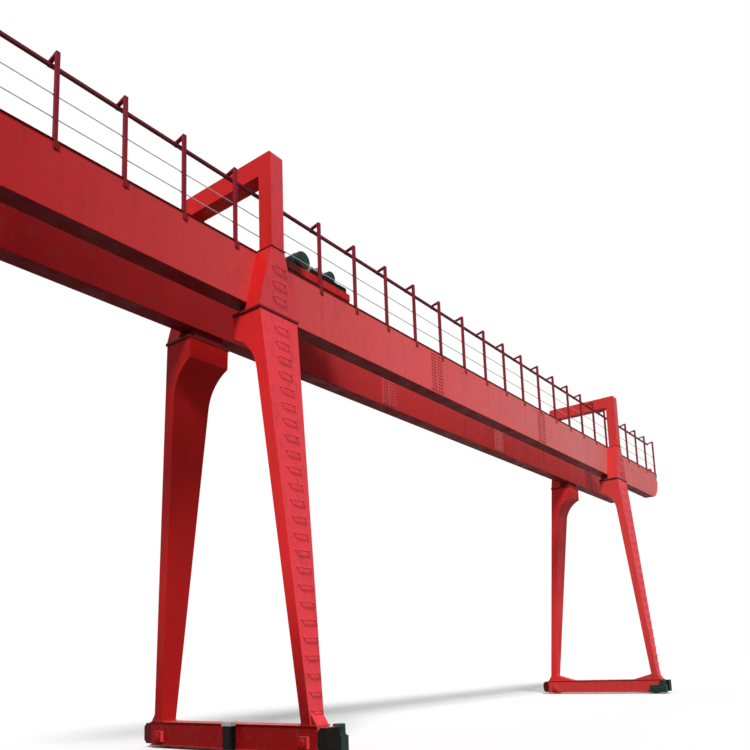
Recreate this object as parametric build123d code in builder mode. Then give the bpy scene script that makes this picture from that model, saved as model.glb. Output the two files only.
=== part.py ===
from build123d import *
import os

os.makedirs("parts", exist_ok=True)

# Double-girder gantry crane in millimetres. X runs along the girders, with the near support at
# -X and the far one at +X. Y runs across them, with the front girder at -Y. Z is up, and the
# floor, where the travel wheels stand, is at zero.

# Layout of the whole crane
span = 18290  # between the centres of the two supports
overhang = 5795  # girder beyond the centre of each support
girder_gauge_width = 1530  # between the centres of the two girders
clear_height = 8125  # floor to the underside of the girders

# Box girders
girder_height = 1145  # over both flanges
web_spread = 330  # over the outer faces of a girder's two webs
web_thickness = 10
flange_width = 370
flange_thickness = 14
end_plate_thickness = 12
end_corner_radius = 800  # inside radius of the rounded lower corner at each end
splice_offset = 3065  # from the middle of the crane to each bolted splice
splice_length = 570
splice_thickness = 10
splice_margin = 60  # from the flanges to the splice plates
trolley_rail_width = 50
trolley_rail_height = 60
stop_length = 160
stop_width = 120
stop_height = 200
stop_setback = 250  # girder end to the outside of the trolley stop

# Supports: saddle frames over the girders, ear boxes beside them and legs below
support_width = 2650  # over the outer faces of the uprights
upright_width = 330  # across the girders
saddle_length = 325  # along the girders
saddle_rise = 1965  # girder top to the top of the crossbeam
crossbeam_depth = 410
saddle_corner_radius = 60
saddle_inner_radius = 40
joint_plate_proud = 15  # how far the joint plates stand out all round
joint_plate_thickness = 25
seat_height = 180  # girder underside to the top of the leg's head plate
seat_length = 700
seat_setback = 20  # from the inner end of the head plate
ear_top_length = 348
ear_bottom_length = 1003
leg_top_length = 979
leg_foot_length = 347
leg_top_width = 271
leg_foot_width = 209
leg_splay = 725  # how far the foot stands outside the head
head_reach = 700  # outer face of the leg head to its inner end
head_drop = 400  # straight inner end of the leg head
head_arc_drop = 730  # height of the hollow curve below it
foot_plate_thickness = 20
foot_plate_proud = 20
haunch_length = 700
haunch_height = 180
haunch_width = 300
toe_length = 120

# Rungs up the front legs
rung_pitch = 300
rung_width = 340
rung_bar = 20
rung_standoff = 120
first_rung_height = 204  # above the foot plate
ladder_top_gap = 400  # girder top to the highest rung, at the least

# Sill beams, wheels and travel drives
sill_height = 450
sill_width = 360
sill_web_spread = 300
sill_flange_thickness = 16
sill_overhang = 130  # sill beam beyond the outer faces of the leg feet
sill_cap_length = 220
sill_cap_height = 390
sill_cap_chamfer = 70
wheel_sides = 20  # flats round each wheel and axle
wheel_diameter = 400
wheel_flange_diameter = 450
wheel_tread_width = 90
wheel_flange = 22
wheel_setback = 280  # sill beam end to the axle
wheel_drop = 50  # floor to the underside of the sill beam
axle_diameter = 90
pocket_clearance = 12
axle_box_size = 200
axle_box_depth = 40
gearbox_width = 190
gearbox_height = 260
travel_motor_diameter = 220
travel_motor_length = 190
motor_flange_proud = 10
motor_flange_thickness = 18
drive_setback = 30  # how far the drive ends short of the sill beam's end
terminal_width = 220
terminal_depth = 100
terminal_height = 400
terminal_cover_height = 70
terminal_cover_proud = 15
terminal_shift = 150  # from the middle of the sill beam towards the front

# Railings
rail_pitch = 1177
post_size = 60
post_inset = 20  # flange edge to the outside of the post
post_height = 1500
arm_size = 40
post_top_chamfer = 20
track_line = 680  # middle of the crane to the middle of the track
track_drop = 80  # post top to the top of the track
track_width = 60
track_height = 50
rod_size = 12
low_rod_height = 399
high_rod_height = 777
bracket_length = 90
bracket_height = 130
handrail_size = 42
rear_post_height = 1050
knee_rail_height = 550

# Trolley
trolley_place = -7450  # middle of the trolley at rest
trolley_length = 2060
trolley_wheel_base = 1400
trolley_wheel_diameter = 190
trolley_wheel_width = 70
trolley_axle_diameter = 60
truck_width = 160
truck_height = 155
truck_clearance = 50  # above the rail
wheel_pocket_clearance = 12
frame_deck_thickness = 12
frame_cross_width = 140
well_length = 200
well_width = 560
kerb_height = 130
kerb_width = 60
kerb_setback = 40  # trolley edge to the outside of the kerb
bed_height = 185
bed_width = 120
bed_setback = 345  # trolley edge to the outside of the long bed bar
bed_end_setback = 60
drum_place = 430  # from the middle of the trolley towards the far end
drum_shift = 75  # from the middle of the trolley towards the rear
drum_shaft_diameter = 60
drum_diameter = 360
drum_sides = 24  # flats round the drum and its flanges
drum_length = 750
drum_flange_diameter = 440
drum_flange_thickness = 20
drum_axis_height = 365  # above the deck
drum_stand_thickness = 40
drum_stand_width = 260
hoist_gearbox_length = 950
hoist_gearbox_width = 220
hoist_gearbox_height = 700
hoist_motor_place = -60  # from the middle of the trolley
hoist_motor_shaft_diameter = 70
hoist_motor_diameter = 420
hoist_motor_length = 550
motor_foot_height = 98
motor_foot_margin_share = 0.7
brake_length = 200
brake_width = 150
brake_rise = 130  # above the motor's axis
limit_switch_width = 190
limit_switch_length = 150
limit_switch_gap = 80  # between the drum stand and the limit switch
trolley_motor_place = 840  # from the middle of the trolley
trolley_motor_foot_height = 148
trolley_motor_diameter = 280
trolley_motor_length = 400
rope_diameter = 16
rope_gauge_width = 200
hook_block_width = 340
hook_block_length = 140
hook_block_height = 230
hook_block_drop = 200  # girder top to the top of the hook block
hook_bar = 50
hook_radius = 70
hook_shank = 60
running_gap = 6

cut_overrun = 50

# Levels and lines worked out from the sizes above
girder_length = span + 2 * overhang
girder_bottom = clear_height
girder_top = girder_bottom + girder_height
web_bottom = girder_bottom + flange_thickness
web_top = girder_top - flange_thickness
straight_length = girder_length - 2 * (end_corner_radius + flange_thickness)
girder_line = girder_gauge_width / 2
outer_web_face = girder_line + web_spread / 2
flange_edge = girder_line + flange_width / 2
support_face = support_width / 2
support_line = span / 2
head_end = support_face - head_reach
joint_level = girder_bottom - seat_height
leg_top = joint_level - joint_plate_thickness
ear_bottom = joint_level + joint_plate_thickness
sill_length = 2 * (support_face + leg_splay + sill_overhang)
sill_top = wheel_drop + sill_height
foot_level = sill_top + foot_plate_thickness
wheel_base = sill_length - 2 * wheel_setback
axle_level = wheel_flange_diameter / 2
rail_top = girder_top + trolley_rail_height

# Railing posts, laid out from the far end of the girders
post_count = int((girder_length - bracket_length) // rail_pitch) + 1
posts_span = (post_count - 1) * rail_pitch
posts_middle = (girder_length - bracket_length - posts_span) / 2

supports = {"near": -support_line, "far": support_line}
sides = {"front": -1, "rear": 1}


# Box girders

def girder_webs(name, side):
    """Two upright web plates with rounded lower corners at both ends."""
    with BuildPart() as webs:
        for face in (-1, 1):
            line = side * girder_line + face * (web_spread - web_thickness) / 2
            with BuildSketch(Plane.XZ.offset(-line)) as outline:
                with Locations((0, (web_bottom + web_top) / 2)):
                    Rectangle(girder_length - 2 * end_plate_thickness, web_top - web_bottom)
                fillet(outline.vertices().group_by(Axis.Y)[0], end_corner_radius)
            extrude(amount=web_thickness / 2, both=True)
    webs.part.label = name
    export_step(webs.part, f"parts/{name}.step")


def girder_flange(name, side, underside, length):
    """Flat plate along the top or the underside of a girder."""
    with BuildPart() as flange:
        with BuildSketch(Plane.YZ):
            with Locations((side * girder_line, underside + flange_thickness / 2)):
                Rectangle(flange_width, flange_thickness)
        extrude(amount=length / 2, both=True)
    flange.part.label = name
    export_step(flange.part, f"parts/{name}.step")


def girder_end_band(side, width, low, high):
    """Plate band round both ends of a girder, between two levels, past the straight underside."""
    with BuildPart() as band:
        with BuildSketch(Plane.XZ.offset(-side * girder_line)):
            with BuildSketch(mode=Mode.PRIVATE) as outside:
                with Locations((0, (girder_bottom + web_top) / 2)):
                    Rectangle(girder_length, web_top - girder_bottom)
                fillet(outside.vertices().group_by(Axis.Y)[0], end_corner_radius + flange_thickness)
            with BuildSketch(mode=Mode.PRIVATE) as inside:
                with Locations((0, (web_bottom + web_top) / 2)):
                    Rectangle(girder_length - 2 * end_plate_thickness, web_top - web_bottom)
                fillet(inside.vertices().group_by(Axis.Y)[0], end_corner_radius)
            add(outside.sketch)
            add(inside.sketch, mode=Mode.SUBTRACT)
            with Locations((0, (low + high) / 2)):
                Rectangle(girder_length + cut_overrun, high - low, mode=Mode.INTERSECT)
                Rectangle(straight_length, high - low, mode=Mode.SUBTRACT)
        extrude(amount=width / 2, both=True)
    return band


def splice_plates():
    """Bolted joint plates on both webs of both girders."""
    height = web_top - web_bottom - 2 * splice_margin
    with BuildPart() as plates:
        for side in sides.values():
            for face in (-1, 1):
                line = side * girder_line + face * (web_spread + splice_thickness) / 2
                with BuildSketch(Plane.XZ.offset(-line)):
                    with Locations(
                        (-splice_offset, (web_bottom + web_top) / 2),
                        (splice_offset, (web_bottom + web_top) / 2),
                    ):
                        Rectangle(splice_length, height)
                    if face == side == sides["front"]:
                        with Locations((posts_middle, web_top - bracket_height / 2)):
                            with GridLocations(rail_pitch, 0, post_count, 1):
                                Rectangle(bracket_length, bracket_height, mode=Mode.SUBTRACT)
                extrude(amount=splice_thickness / 2, both=True)
    plates.part.label = "splice_plates"
    export_step(plates.part, "parts/splice_plates.step")


for side_name, side in sides.items():
    girder_webs(f"{side_name}_webs", side)
    girder_flange(f"{side_name}_top_flange", side, web_top, girder_length)
    girder_flange(f"{side_name}_bottom_flange", side, girder_bottom, straight_length)
splice_plates()

with BuildPart() as end_plates:
    for side in sides.values():
        corner = girder_end_band(side, flange_width, girder_bottom, web_bottom + end_corner_radius)
        add(corner.part)
        plate = girder_end_band(side, web_spread, web_bottom + end_corner_radius, web_top)
        add(plate.part)
end_plates.part.label = "girder_end_plates"
export_step(end_plates.part, "parts/girder_end_plates.step")

with BuildPart() as rails:
    with BuildSketch(Plane.YZ):
        with Locations(
            (-girder_line, girder_top + trolley_rail_height / 2),
            (girder_line, girder_top + trolley_rail_height / 2),
        ):
            Rectangle(trolley_rail_width, trolley_rail_height)
    extrude(amount=girder_length / 2 - stop_setback - stop_length, both=True)
rails.part.label = "trolley_rails"
export_step(rails.part, "parts/trolley_rails.step")

stop_line = girder_length / 2 - stop_setback - stop_length / 2
with BuildPart() as stops:
    with BuildSketch(Plane.XY.offset(girder_top)):
        with GridLocations(2 * stop_line, girder_gauge_width, 2, 2):
            Rectangle(stop_length, stop_width)
    extrude(amount=stop_height)
stops.part.label = "trolley_stops"
export_step(stops.part, "parts/trolley_stops.step")


# Supports

def saddle(name, place):
    """Portal frame that stands on the ears and bridges both girders."""
    with BuildPart() as frame:
        with BuildSketch(Plane.YZ.offset(place)) as outline:
            with Locations((0, girder_top + saddle_rise / 2)):
                Rectangle(support_width, saddle_rise)
            fillet(outline.vertices().group_by(Axis.Y)[-1], saddle_corner_radius)
            opening_height = saddle_rise - crossbeam_depth
            with BuildSketch(mode=Mode.PRIVATE) as opening:
                with Locations((0, girder_top + opening_height / 2)):
                    Rectangle(support_width - 2 * upright_width, opening_height)
                fillet(opening.vertices().group_by(Axis.Y)[-1], saddle_inner_radius)
            add(opening.sketch, mode=Mode.SUBTRACT)
        extrude(amount=saddle_length / 2, both=True)
    frame.part.label = name
    export_step(frame.part, f"parts/{name}.step")


def flange_plates(name, place):
    """Joint plates beside the girders, under the saddle, and under the ears and girder seats."""
    plate_end = support_face + joint_plate_proud
    plates_of_joint = (
        (girder_top - flange_thickness, flange_thickness, ear_top_length, flange_edge),
        (joint_level, joint_plate_thickness, ear_bottom_length, head_end),
    )
    with BuildPart() as plates:
        for level, thickness, length, inner_end in plates_of_joint:
            middle = (inner_end + plate_end) / 2
            with BuildSketch(Plane.XY.offset(level)):
                with Locations((place, -middle), (place, middle)):
                    Rectangle(length + 2 * joint_plate_proud, plate_end - inner_end)
            extrude(amount=thickness)
    plates.part.label = name
    export_step(plates.part, f"parts/{name}.step")


def ear(name, place, side):
    """Tapered box that joins the leg to the saddle and is fixed to a girder's outer web."""
    with BuildPart() as box:
        with BuildSketch(Plane.XZ.offset(-side * outer_web_face)):
            with BuildLine():
                Polyline(
                    (place - ear_bottom_length / 2, ear_bottom),
                    (place + ear_bottom_length / 2, ear_bottom),
                    (place + ear_top_length / 2, web_top),
                    (place - ear_top_length / 2, web_top),
                    close=True,
                )
            make_face()
        extrude(amount=-side * (support_face - outer_web_face))
        clear_bottom = ear_bottom - cut_overrun
        with BuildSketch(Plane.XZ.offset(-side * flange_edge)):
            with Locations((place, (clear_bottom + web_bottom) / 2)):
                Rectangle(ear_bottom_length + cut_overrun, web_bottom - clear_bottom)
        extrude(amount=side * (flange_edge - outer_web_face + cut_overrun), mode=Mode.SUBTRACT)
    box.part.label = name
    export_step(box.part, f"parts/{name}.step")


def leg(name, place, side):
    """Tapered splayed leg, with a head that curves inwards under the girder."""
    foot_face = support_face + leg_splay
    rise = leg_top - foot_level
    inner_top = support_face - leg_top_width
    inner_foot = foot_face - leg_foot_width
    arc_end = leg_top - head_drop
    arc_start = arc_end - head_arc_drop
    arc_share = (leg_top - arc_start) / rise
    start_line = inner_top + (inner_foot - inner_top) * arc_share
    with BuildPart() as body:
        with BuildSketch(Plane.YZ.offset(place)):
            with BuildLine():
                Polyline(
                    (side * head_end, arc_end),
                    (side * head_end, leg_top),
                    (side * support_face, leg_top),
                    (side * foot_face, foot_level),
                    (side * inner_foot, foot_level),
                    (side * start_line, arc_start),
                )
                TangentArc(
                    (side * start_line, arc_start),
                    (side * head_end, arc_end),
                    tangent=(side * (inner_top - inner_foot), rise),
                )
            make_face()
        extrude(amount=leg_top_length / 2, both=True)
        with BuildSketch(Plane.XZ):
            with BuildLine():
                Polyline(
                    (place - leg_foot_length / 2, foot_level),
                    (place + leg_foot_length / 2, foot_level),
                    (place + leg_top_length / 2, leg_top),
                    (place - leg_top_length / 2, leg_top),
                    close=True,
                )
            make_face()
        extrude(amount=foot_face + cut_overrun, both=True, mode=Mode.INTERSECT)
        head_centre = (support_face + joint_plate_proud + head_end) / 2
        with BuildSketch(Plane.XY.offset(leg_top)):
            with Locations((place, side * head_centre)):
                Rectangle(ear_bottom_length + 2 * joint_plate_proud, head_reach + joint_plate_proud)
        extrude(amount=joint_plate_thickness)
        with BuildSketch(Plane.XY.offset(sill_top)):
            with Locations((place, side * (foot_face + inner_foot) / 2)):
                Rectangle(sill_width, leg_foot_width + 2 * foot_plate_proud)
        extrude(amount=foot_plate_thickness)
        haunch_top = foot_level + haunch_height
        outer_at_haunch = foot_face - leg_splay * haunch_height / rise
        with BuildSketch(Plane.YZ.offset(place)):
            if place > 0:  # only the far support has the long haunch on the inner side
                with BuildLine():
                    Polyline(
                        (side * inner_foot, sill_top),
                        (side * (inner_foot - haunch_length), sill_top),
                        (side * inner_foot, haunch_top),
                        close=True,
                    )
                make_face()
            with BuildLine():
                Polyline(
                    (side * foot_face, sill_top),
                    (side * (foot_face + toe_length), sill_top),
                    (side * outer_at_haunch, haunch_top),
                    close=True,
                )
            make_face()
        extrude(amount=haunch_width / 2, both=True)
    body.part.label = name
    export_step(body.part, f"parts/{name}.step")


def rungs(name, place):
    """Staple rungs up the outer face of a front leg and its ear."""
    lean = leg_splay / (leg_top - foot_level)
    foot_face = support_face + leg_splay
    ladder_height = girder_top - ladder_top_gap - foot_level - first_rung_height
    with BuildPart() as bars:
        for index in range(int(ladder_height // rung_pitch) + 1):
            low = foot_level + first_rung_height + index * rung_pitch
            if abs(low - joint_level) < joint_plate_thickness + 2 * rung_bar:
                continue
            face = max(support_face, foot_face - (low - foot_level) * lean)
            inside = rung_standoff - rung_bar
            with BuildSketch(Plane.XY.offset(low)):
                with Locations((place, -face - rung_standoff / 2)):
                    Rectangle(rung_width, rung_standoff)
                with Locations((place, -face - (inside - cut_overrun) / 2)):
                    Rectangle(rung_width - 2 * rung_bar, inside + cut_overrun, mode=Mode.SUBTRACT)
            extrude(amount=rung_bar)
    bars.part.label = name
    export_step(bars.part, f"parts/{name}.step")


def sill_beam(name, place):
    """Flanged beam across the tracks, with a wheel pocket and axle boxes near each end."""
    pocket_length = wheel_flange_diameter + 2 * pocket_clearance
    pocket_width = wheel_tread_width + 2 * wheel_flange + 2 * pocket_clearance
    pocket_top = axle_level + wheel_flange_diameter / 2 + pocket_clearance
    with BuildPart() as beam:
        with BuildSketch(Plane.XZ):
            with Locations((place, wheel_drop + sill_height / 2)):
                Rectangle(sill_width, sill_height)
                Rectangle(sill_width, sill_height - 2 * sill_flange_thickness, mode=Mode.SUBTRACT)
                Rectangle(sill_web_spread, sill_height)
        extrude(amount=sill_length / 2, both=True)
        with BuildSketch(Plane.XY.offset(wheel_drop - cut_overrun)):
            with Locations((place, -wheel_base / 2), (place, wheel_base / 2)):
                Rectangle(pocket_width, pocket_length)
        extrude(amount=pocket_top - wheel_drop + cut_overrun, mode=Mode.SUBTRACT)
        for face in (-1, 1):
            outside = place + face * (sill_width / 2 + axle_box_depth)
            with BuildSketch(Plane.YZ.offset(outside)):
                with Locations((-wheel_base / 2, axle_level), (wheel_base / 2, axle_level)):
                    Rectangle(axle_box_size, axle_box_size)
            extrude(amount=-face * (axle_box_depth + (sill_width - sill_web_spread) / 2))
        with BuildSketch(Plane.YZ.offset(place)):
            with Locations((-wheel_base / 2, axle_level), (wheel_base / 2, axle_level)):
                RegularPolygon((axle_diameter + running_gap) / 2, wheel_sides)
        extrude(amount=sill_width / 2 - axle_box_depth, both=True, mode=Mode.SUBTRACT)
    beam.part.label = name
    export_step(beam.part, f"parts/{name}.step")


for support_name, place in supports.items():
    saddle(f"{support_name}_saddle", place)
    flange_plates(f"{support_name}_flange_plates", place)
    for side_name, side in sides.items():
        ear(f"{support_name}_{side_name}_ear", place, side)
        leg(f"{support_name}_{side_name}_leg", place, side)
    rungs(f"{support_name}_rungs", place)
    sill_beam(f"{support_name}_sill_beam", place)

# Seats between the leg heads and the undersides of the girders
seat_inner = head_end + seat_setback
with BuildPart() as seats:
    with BuildSketch(Plane.XY.offset(ear_bottom)):
        for place in supports.values():
            for side in sides.values():
                with Locations((place, side * (seat_inner + outer_web_face) / 2)):
                    Rectangle(seat_length, outer_web_face - seat_inner)
    extrude(amount=girder_bottom - ear_bottom)
seats.part.label = "girder_seats"
export_step(seats.part, "parts/girder_seats.step")

with BuildPart() as sill_caps:
    for place in supports.values():
        for side in sides.values():
            with BuildSketch(Plane.YZ.offset(place)) as cap:
                with Locations((
                    side * (sill_length + sill_cap_length) / 2,
                    wheel_drop + sill_height / 2,
                )):
                    Rectangle(sill_cap_length, sill_cap_height)
                chamfer(cap.vertices().group_by(Axis.X)[side], sill_cap_chamfer)
            extrude(amount=sill_web_spread / 2, both=True)
sill_caps.part.label = "sill_end_caps"
export_step(sill_caps.part, "parts/sill_end_caps.step")

# Double-flanged travel wheels in one piece with their axles
half_tread = wheel_tread_width / 2
rim = half_tread + wheel_flange
axle_end = sill_width / 2 - axle_box_depth
with BuildPart() as wheels:
    for diameter, half_width in (
        (axle_diameter, axle_end),
        (wheel_flange_diameter, rim),
    ):
        with BuildSketch(Plane.YZ):
            RegularPolygon(diameter / 2, wheel_sides)
        extrude(amount=half_width, both=True)
    with BuildSketch(Plane.YZ):
        RegularPolygon(wheel_flange_diameter / 2, wheel_sides)
        RegularPolygon(wheel_diameter / 2, wheel_sides, mode=Mode.SUBTRACT)
    extrude(amount=half_tread, both=True, mode=Mode.SUBTRACT)
with BuildPart() as gantry_wheels:
    with Locations((0, 0, axle_level)):
        with GridLocations(span, wheel_base, 2, 2):
            add(wheels.part)
gantry_wheels.part.label = "gantry_wheels"
export_step(gantry_wheels.part, "parts/gantry_wheels.step")

# Travel drives on the inner side of each sill beam, at the front wheel
gearbox_inner = sill_width / 2 + axle_box_depth
gearbox_start = -(wheel_base - axle_box_size) / 2
gearbox_end = -(sill_length / 2 + sill_cap_length - drive_setback)
motor_flange_diameter = travel_motor_diameter + 2 * motor_flange_proud
drive_line = gearbox_end + motor_flange_diameter / 2
gearbox_top = wheel_drop + gearbox_height
with BuildPart() as gearboxes:
    for place in supports.values():
        inward = -1 if place > 0 else 1
        with BuildSketch(Plane.YZ.offset(place + inward * gearbox_inner)):
            with Locations(((gearbox_start + gearbox_end) / 2, (wheel_drop + gearbox_top) / 2)):
                Rectangle(gearbox_start - gearbox_end, gearbox_height)
        extrude(amount=inward * gearbox_width)
gearboxes.part.label = "travel_gearboxes"
export_step(gearboxes.part, "parts/travel_gearboxes.step")

with BuildPart() as travel_motors:
    for place in supports.values():
        inward = -1 if place > 0 else 1
        motor_centre = (place + inward * (gearbox_inner + gearbox_width / 2), drive_line)
        with BuildSketch(Plane.XY.offset(gearbox_top)):
            with Locations(motor_centre):
                Circle(travel_motor_diameter / 2)
        extrude(amount=travel_motor_length)
        with BuildSketch(Plane.XY.offset(gearbox_top)):
            with Locations(motor_centre):
                Circle(motor_flange_diameter / 2)
        extrude(amount=motor_flange_thickness)
travel_motors.part.label = "travel_motors"
export_step(travel_motors.part, "parts/travel_motors.step")

terminal_face = -support_line - sill_width / 2
terminal_top = sill_top - terminal_cover_height / 2
with BuildPart() as terminal:
    with BuildSketch(Plane.YZ.offset(terminal_face)):
        with Locations((-terminal_shift, terminal_top - terminal_height / 2)):
            Rectangle(terminal_width, terminal_height)
    extrude(amount=-terminal_depth)
    with BuildSketch(Plane.YZ.offset(terminal_face)):
        with Locations((-terminal_shift, terminal_top + terminal_cover_height / 2)):
            Rectangle(terminal_width + 2 * terminal_cover_proud, terminal_cover_height)
    extrude(amount=-(terminal_depth + terminal_cover_proud))
terminal.part.label = "terminal_box"
export_step(terminal.part, "parts/terminal_box.step")


# Railings

post_line = flange_edge - post_inset - post_size / 2
post_inner = post_line - post_size / 2
post_outer = post_line + post_size / 2
post_top = girder_top + post_height
track_top = post_top - track_drop

# One front post, bent over at the top to hold the track
with BuildPart() as front_post:
    with BuildSketch(Plane.YZ) as outline:
        with BuildLine():
            Polyline(
                (-post_outer, girder_top),
                (-post_outer, post_top),
                (-(track_line - track_width / 2), track_top + arm_size / 2),
                (-(track_line - track_width / 2), track_top),
                (-(track_line + track_width / 2), track_top),
                (-post_inner, track_top + arm_size / 2),
                (-post_inner, girder_top),
                close=True,
            )
        make_face()
        chamfer(outline.vertices().sort_by(Axis.Y)[-1], post_top_chamfer)
    extrude(amount=post_size / 2, both=True)
with BuildPart() as front_posts:
    with Locations((posts_middle, 0)):
        with GridLocations(rail_pitch, 0, post_count, 1):
            add(front_post.part)
front_posts.part.label = "front_rail_posts"
export_step(front_posts.part, "parts/front_rail_posts.step")

# Angle brackets under the top flange at each front post, left out where an ear stands
ear_taper = (ear_bottom_length - ear_top_length) / (web_top - ear_bottom)
ear_reach = ear_top_length + ear_taper * bracket_height + 2 * joint_plate_proud
with BuildPart() as brackets:
    with BuildSketch(Plane.XZ.offset(outer_web_face)):
        with Locations((posts_middle, web_top - bracket_height / 2)):
            with GridLocations(rail_pitch, 0, post_count, 1):
                Rectangle(bracket_length, bracket_height)
        with Locations((-support_line, web_top), (support_line, web_top)):
            Rectangle(ear_reach, 2 * bracket_height + cut_overrun, mode=Mode.SUBTRACT)
    extrude(amount=flange_edge - outer_web_face)
brackets.part.label = "post_brackets"
export_step(brackets.part, "parts/post_brackets.step")

with BuildPart() as track:
    with BuildSketch(Plane.YZ.offset(posts_middle)):
        with Locations((-track_line, track_top - track_height / 2)):
            Rectangle(track_width, track_height)
    extrude(amount=(posts_span + post_size) / 2, both=True)
track.part.label = "cable_track"
export_step(track.part, "parts/cable_track.step")

with BuildPart() as rods:
    with BuildSketch(Plane.YZ.offset(posts_middle)):
        with Locations(
            (-(post_inner - rod_size / 2), girder_top + low_rod_height),
            (-(post_inner - rod_size / 2), girder_top + high_rod_height),
        ):
            Rectangle(rod_size, rod_size)
    extrude(amount=(posts_span + post_size) / 2, both=True)
rods.part.label = "front_rail_rods"
export_step(rods.part, "parts/front_rail_rods.step")

with BuildPart() as rear_posts:
    with BuildSketch(Plane.XY.offset(girder_top)):
        with Locations((posts_middle, post_line)):
            with GridLocations(rail_pitch, 0, post_count, 1):
                Rectangle(post_size, post_size)
    extrude(amount=rear_post_height)
rear_posts.part.label = "rear_rail_posts"
export_step(rear_posts.part, "parts/rear_rail_posts.step")

with BuildPart() as handrails:
    with BuildSketch(Plane.YZ.offset(posts_middle)):
        with Locations(
            (post_line, girder_top + rear_post_height + handrail_size / 2),
            (post_inner - handrail_size / 2, girder_top + knee_rail_height),
        ):
            Rectangle(handrail_size, handrail_size)
    extrude(amount=(posts_span + post_size) / 2, both=True)
handrails.part.label = "rear_handrails"
export_step(handrails.part, "parts/rear_handrails.step")


# Trolley

truck_bottom = rail_top + truck_clearance
truck_top = truck_bottom + truck_height
deck_level = truck_top + frame_deck_thickness
bed_level = deck_level + bed_height
trolley_axle_level = rail_top + trolley_wheel_diameter / 2
truck_inner = girder_line - truck_width / 2
trolley_edge = girder_line + truck_width / 2
drum_x = trolley_place + drum_place
rope_place = drum_x - (drum_diameter + rope_diameter) / 2

# Box trucks over the rails, cross beams between them, and a deck with a well for the ropes
with BuildPart() as trolley_frame:
    with BuildSketch(Plane.XY.offset(truck_bottom)):
        with Locations((trolley_place, -girder_line), (trolley_place, girder_line)):
            Rectangle(trolley_length, truck_width)
        with Locations((trolley_place, 0)):
            with GridLocations(trolley_length - frame_cross_width, 0, 2, 1):
                Rectangle(frame_cross_width, 2 * truck_inner)
    extrude(amount=truck_height)
    with BuildSketch(Plane.XY.offset(truck_top)):
        with Locations((trolley_place, 0)):
            Rectangle(trolley_length, 2 * trolley_edge)
        with Locations((rope_place, 0)):
            Rectangle(well_length, well_width, mode=Mode.SUBTRACT)
    extrude(amount=frame_deck_thickness)
    pocket_top = trolley_axle_level + trolley_wheel_diameter / 2 + wheel_pocket_clearance
    with BuildSketch(Plane.XY.offset(truck_bottom - cut_overrun)):
        with Locations((trolley_place, 0)):
            with GridLocations(trolley_wheel_base, girder_gauge_width, 2, 2):
                Rectangle(
                    trolley_wheel_diameter + 2 * wheel_pocket_clearance,
                    trolley_wheel_width + 2 * wheel_pocket_clearance,
                )
    extrude(amount=pocket_top - truck_bottom + cut_overrun, mode=Mode.SUBTRACT)
    with BuildSketch(Plane.XZ):
        with Locations((trolley_place, trolley_axle_level)):
            with GridLocations(trolley_wheel_base, 0, 2, 1):
                RegularPolygon(trolley_axle_diameter / 2, wheel_sides)
    extrude(amount=girder_gauge_width, both=True, mode=Mode.SUBTRACT)
trolley_frame.part.label = "trolley_frame"
export_step(trolley_frame.part, "parts/trolley_frame.step")

with BuildPart() as trolley_wheels:
    for side in sides.values():
        for diameter, width in (
            (trolley_wheel_diameter, trolley_wheel_width),
            (trolley_axle_diameter, truck_width),
        ):
            with BuildSketch(Plane.XZ.offset(-side * girder_line)):
                with Locations((trolley_place, trolley_axle_level)):
                    with GridLocations(trolley_wheel_base, 0, 2, 1):
                        RegularPolygon(diameter / 2, wheel_sides)
            extrude(amount=width / 2, both=True)
trolley_wheels.part.label = "trolley_wheels"
export_step(trolley_wheels.part, "parts/trolley_wheels.step")

# Kerb along the front edge, and bed bars that carry the machines: a long one under their fronts and
# a short one behind the hoist motor
motor_place = trolley_place + hoist_motor_place
bed_line = -(trolley_edge - bed_setback - bed_width / 2)
motor_front = bed_line - bed_width / 2
motor_rear = motor_front + hoist_motor_length
with BuildPart() as bed:
    with BuildSketch(Plane.XY.offset(deck_level)):
        with Locations((trolley_place, bed_line)):
            Rectangle(trolley_length - 2 * bed_end_setback, bed_width)
        with Locations((motor_place, motor_rear - bed_width / 2)):
            Rectangle(hoist_motor_diameter, bed_width)
    extrude(amount=bed_height)
    with BuildSketch(Plane.XY.offset(deck_level)):
        with Locations((trolley_place, -(trolley_edge - kerb_setback - kerb_width / 2))):
            Rectangle(trolley_length - 2 * bed_end_setback, kerb_width)
    extrude(amount=kerb_height)
bed.part.label = "machine_bed"
export_step(bed.part, "parts/machine_bed.step")

# Rope drum on two stands, with its shaft running on to the gearbox and the limit switch
drum_axis = deck_level + drum_axis_height
drum_front = drum_shift - drum_length / 2
drum_rear = drum_shift + drum_length / 2
switch_rear = drum_front - drum_stand_thickness - limit_switch_gap
gearbox_front = drum_rear + drum_stand_thickness
with BuildPart() as drum:
    with BuildSketch(Plane.XZ.offset(-drum_rear)):
        with Locations((drum_x, drum_axis)):
            RegularPolygon(drum_diameter / 2, drum_sides)
    extrude(amount=drum_length)
    for flange_start in (drum_front + drum_flange_thickness, drum_rear):
        with BuildSketch(Plane.XZ.offset(-flange_start)):
            with Locations((drum_x, drum_axis)):
                RegularPolygon(drum_flange_diameter / 2, drum_sides)
        extrude(amount=drum_flange_thickness)
    with BuildSketch(Plane.XZ.offset(-gearbox_front)):
        with Locations((drum_x, drum_axis)):
            Circle(drum_shaft_diameter / 2)
    extrude(amount=gearbox_front - switch_rear)
drum.part.label = "rope_drum"
export_step(drum.part, "parts/rope_drum.step")

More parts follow.
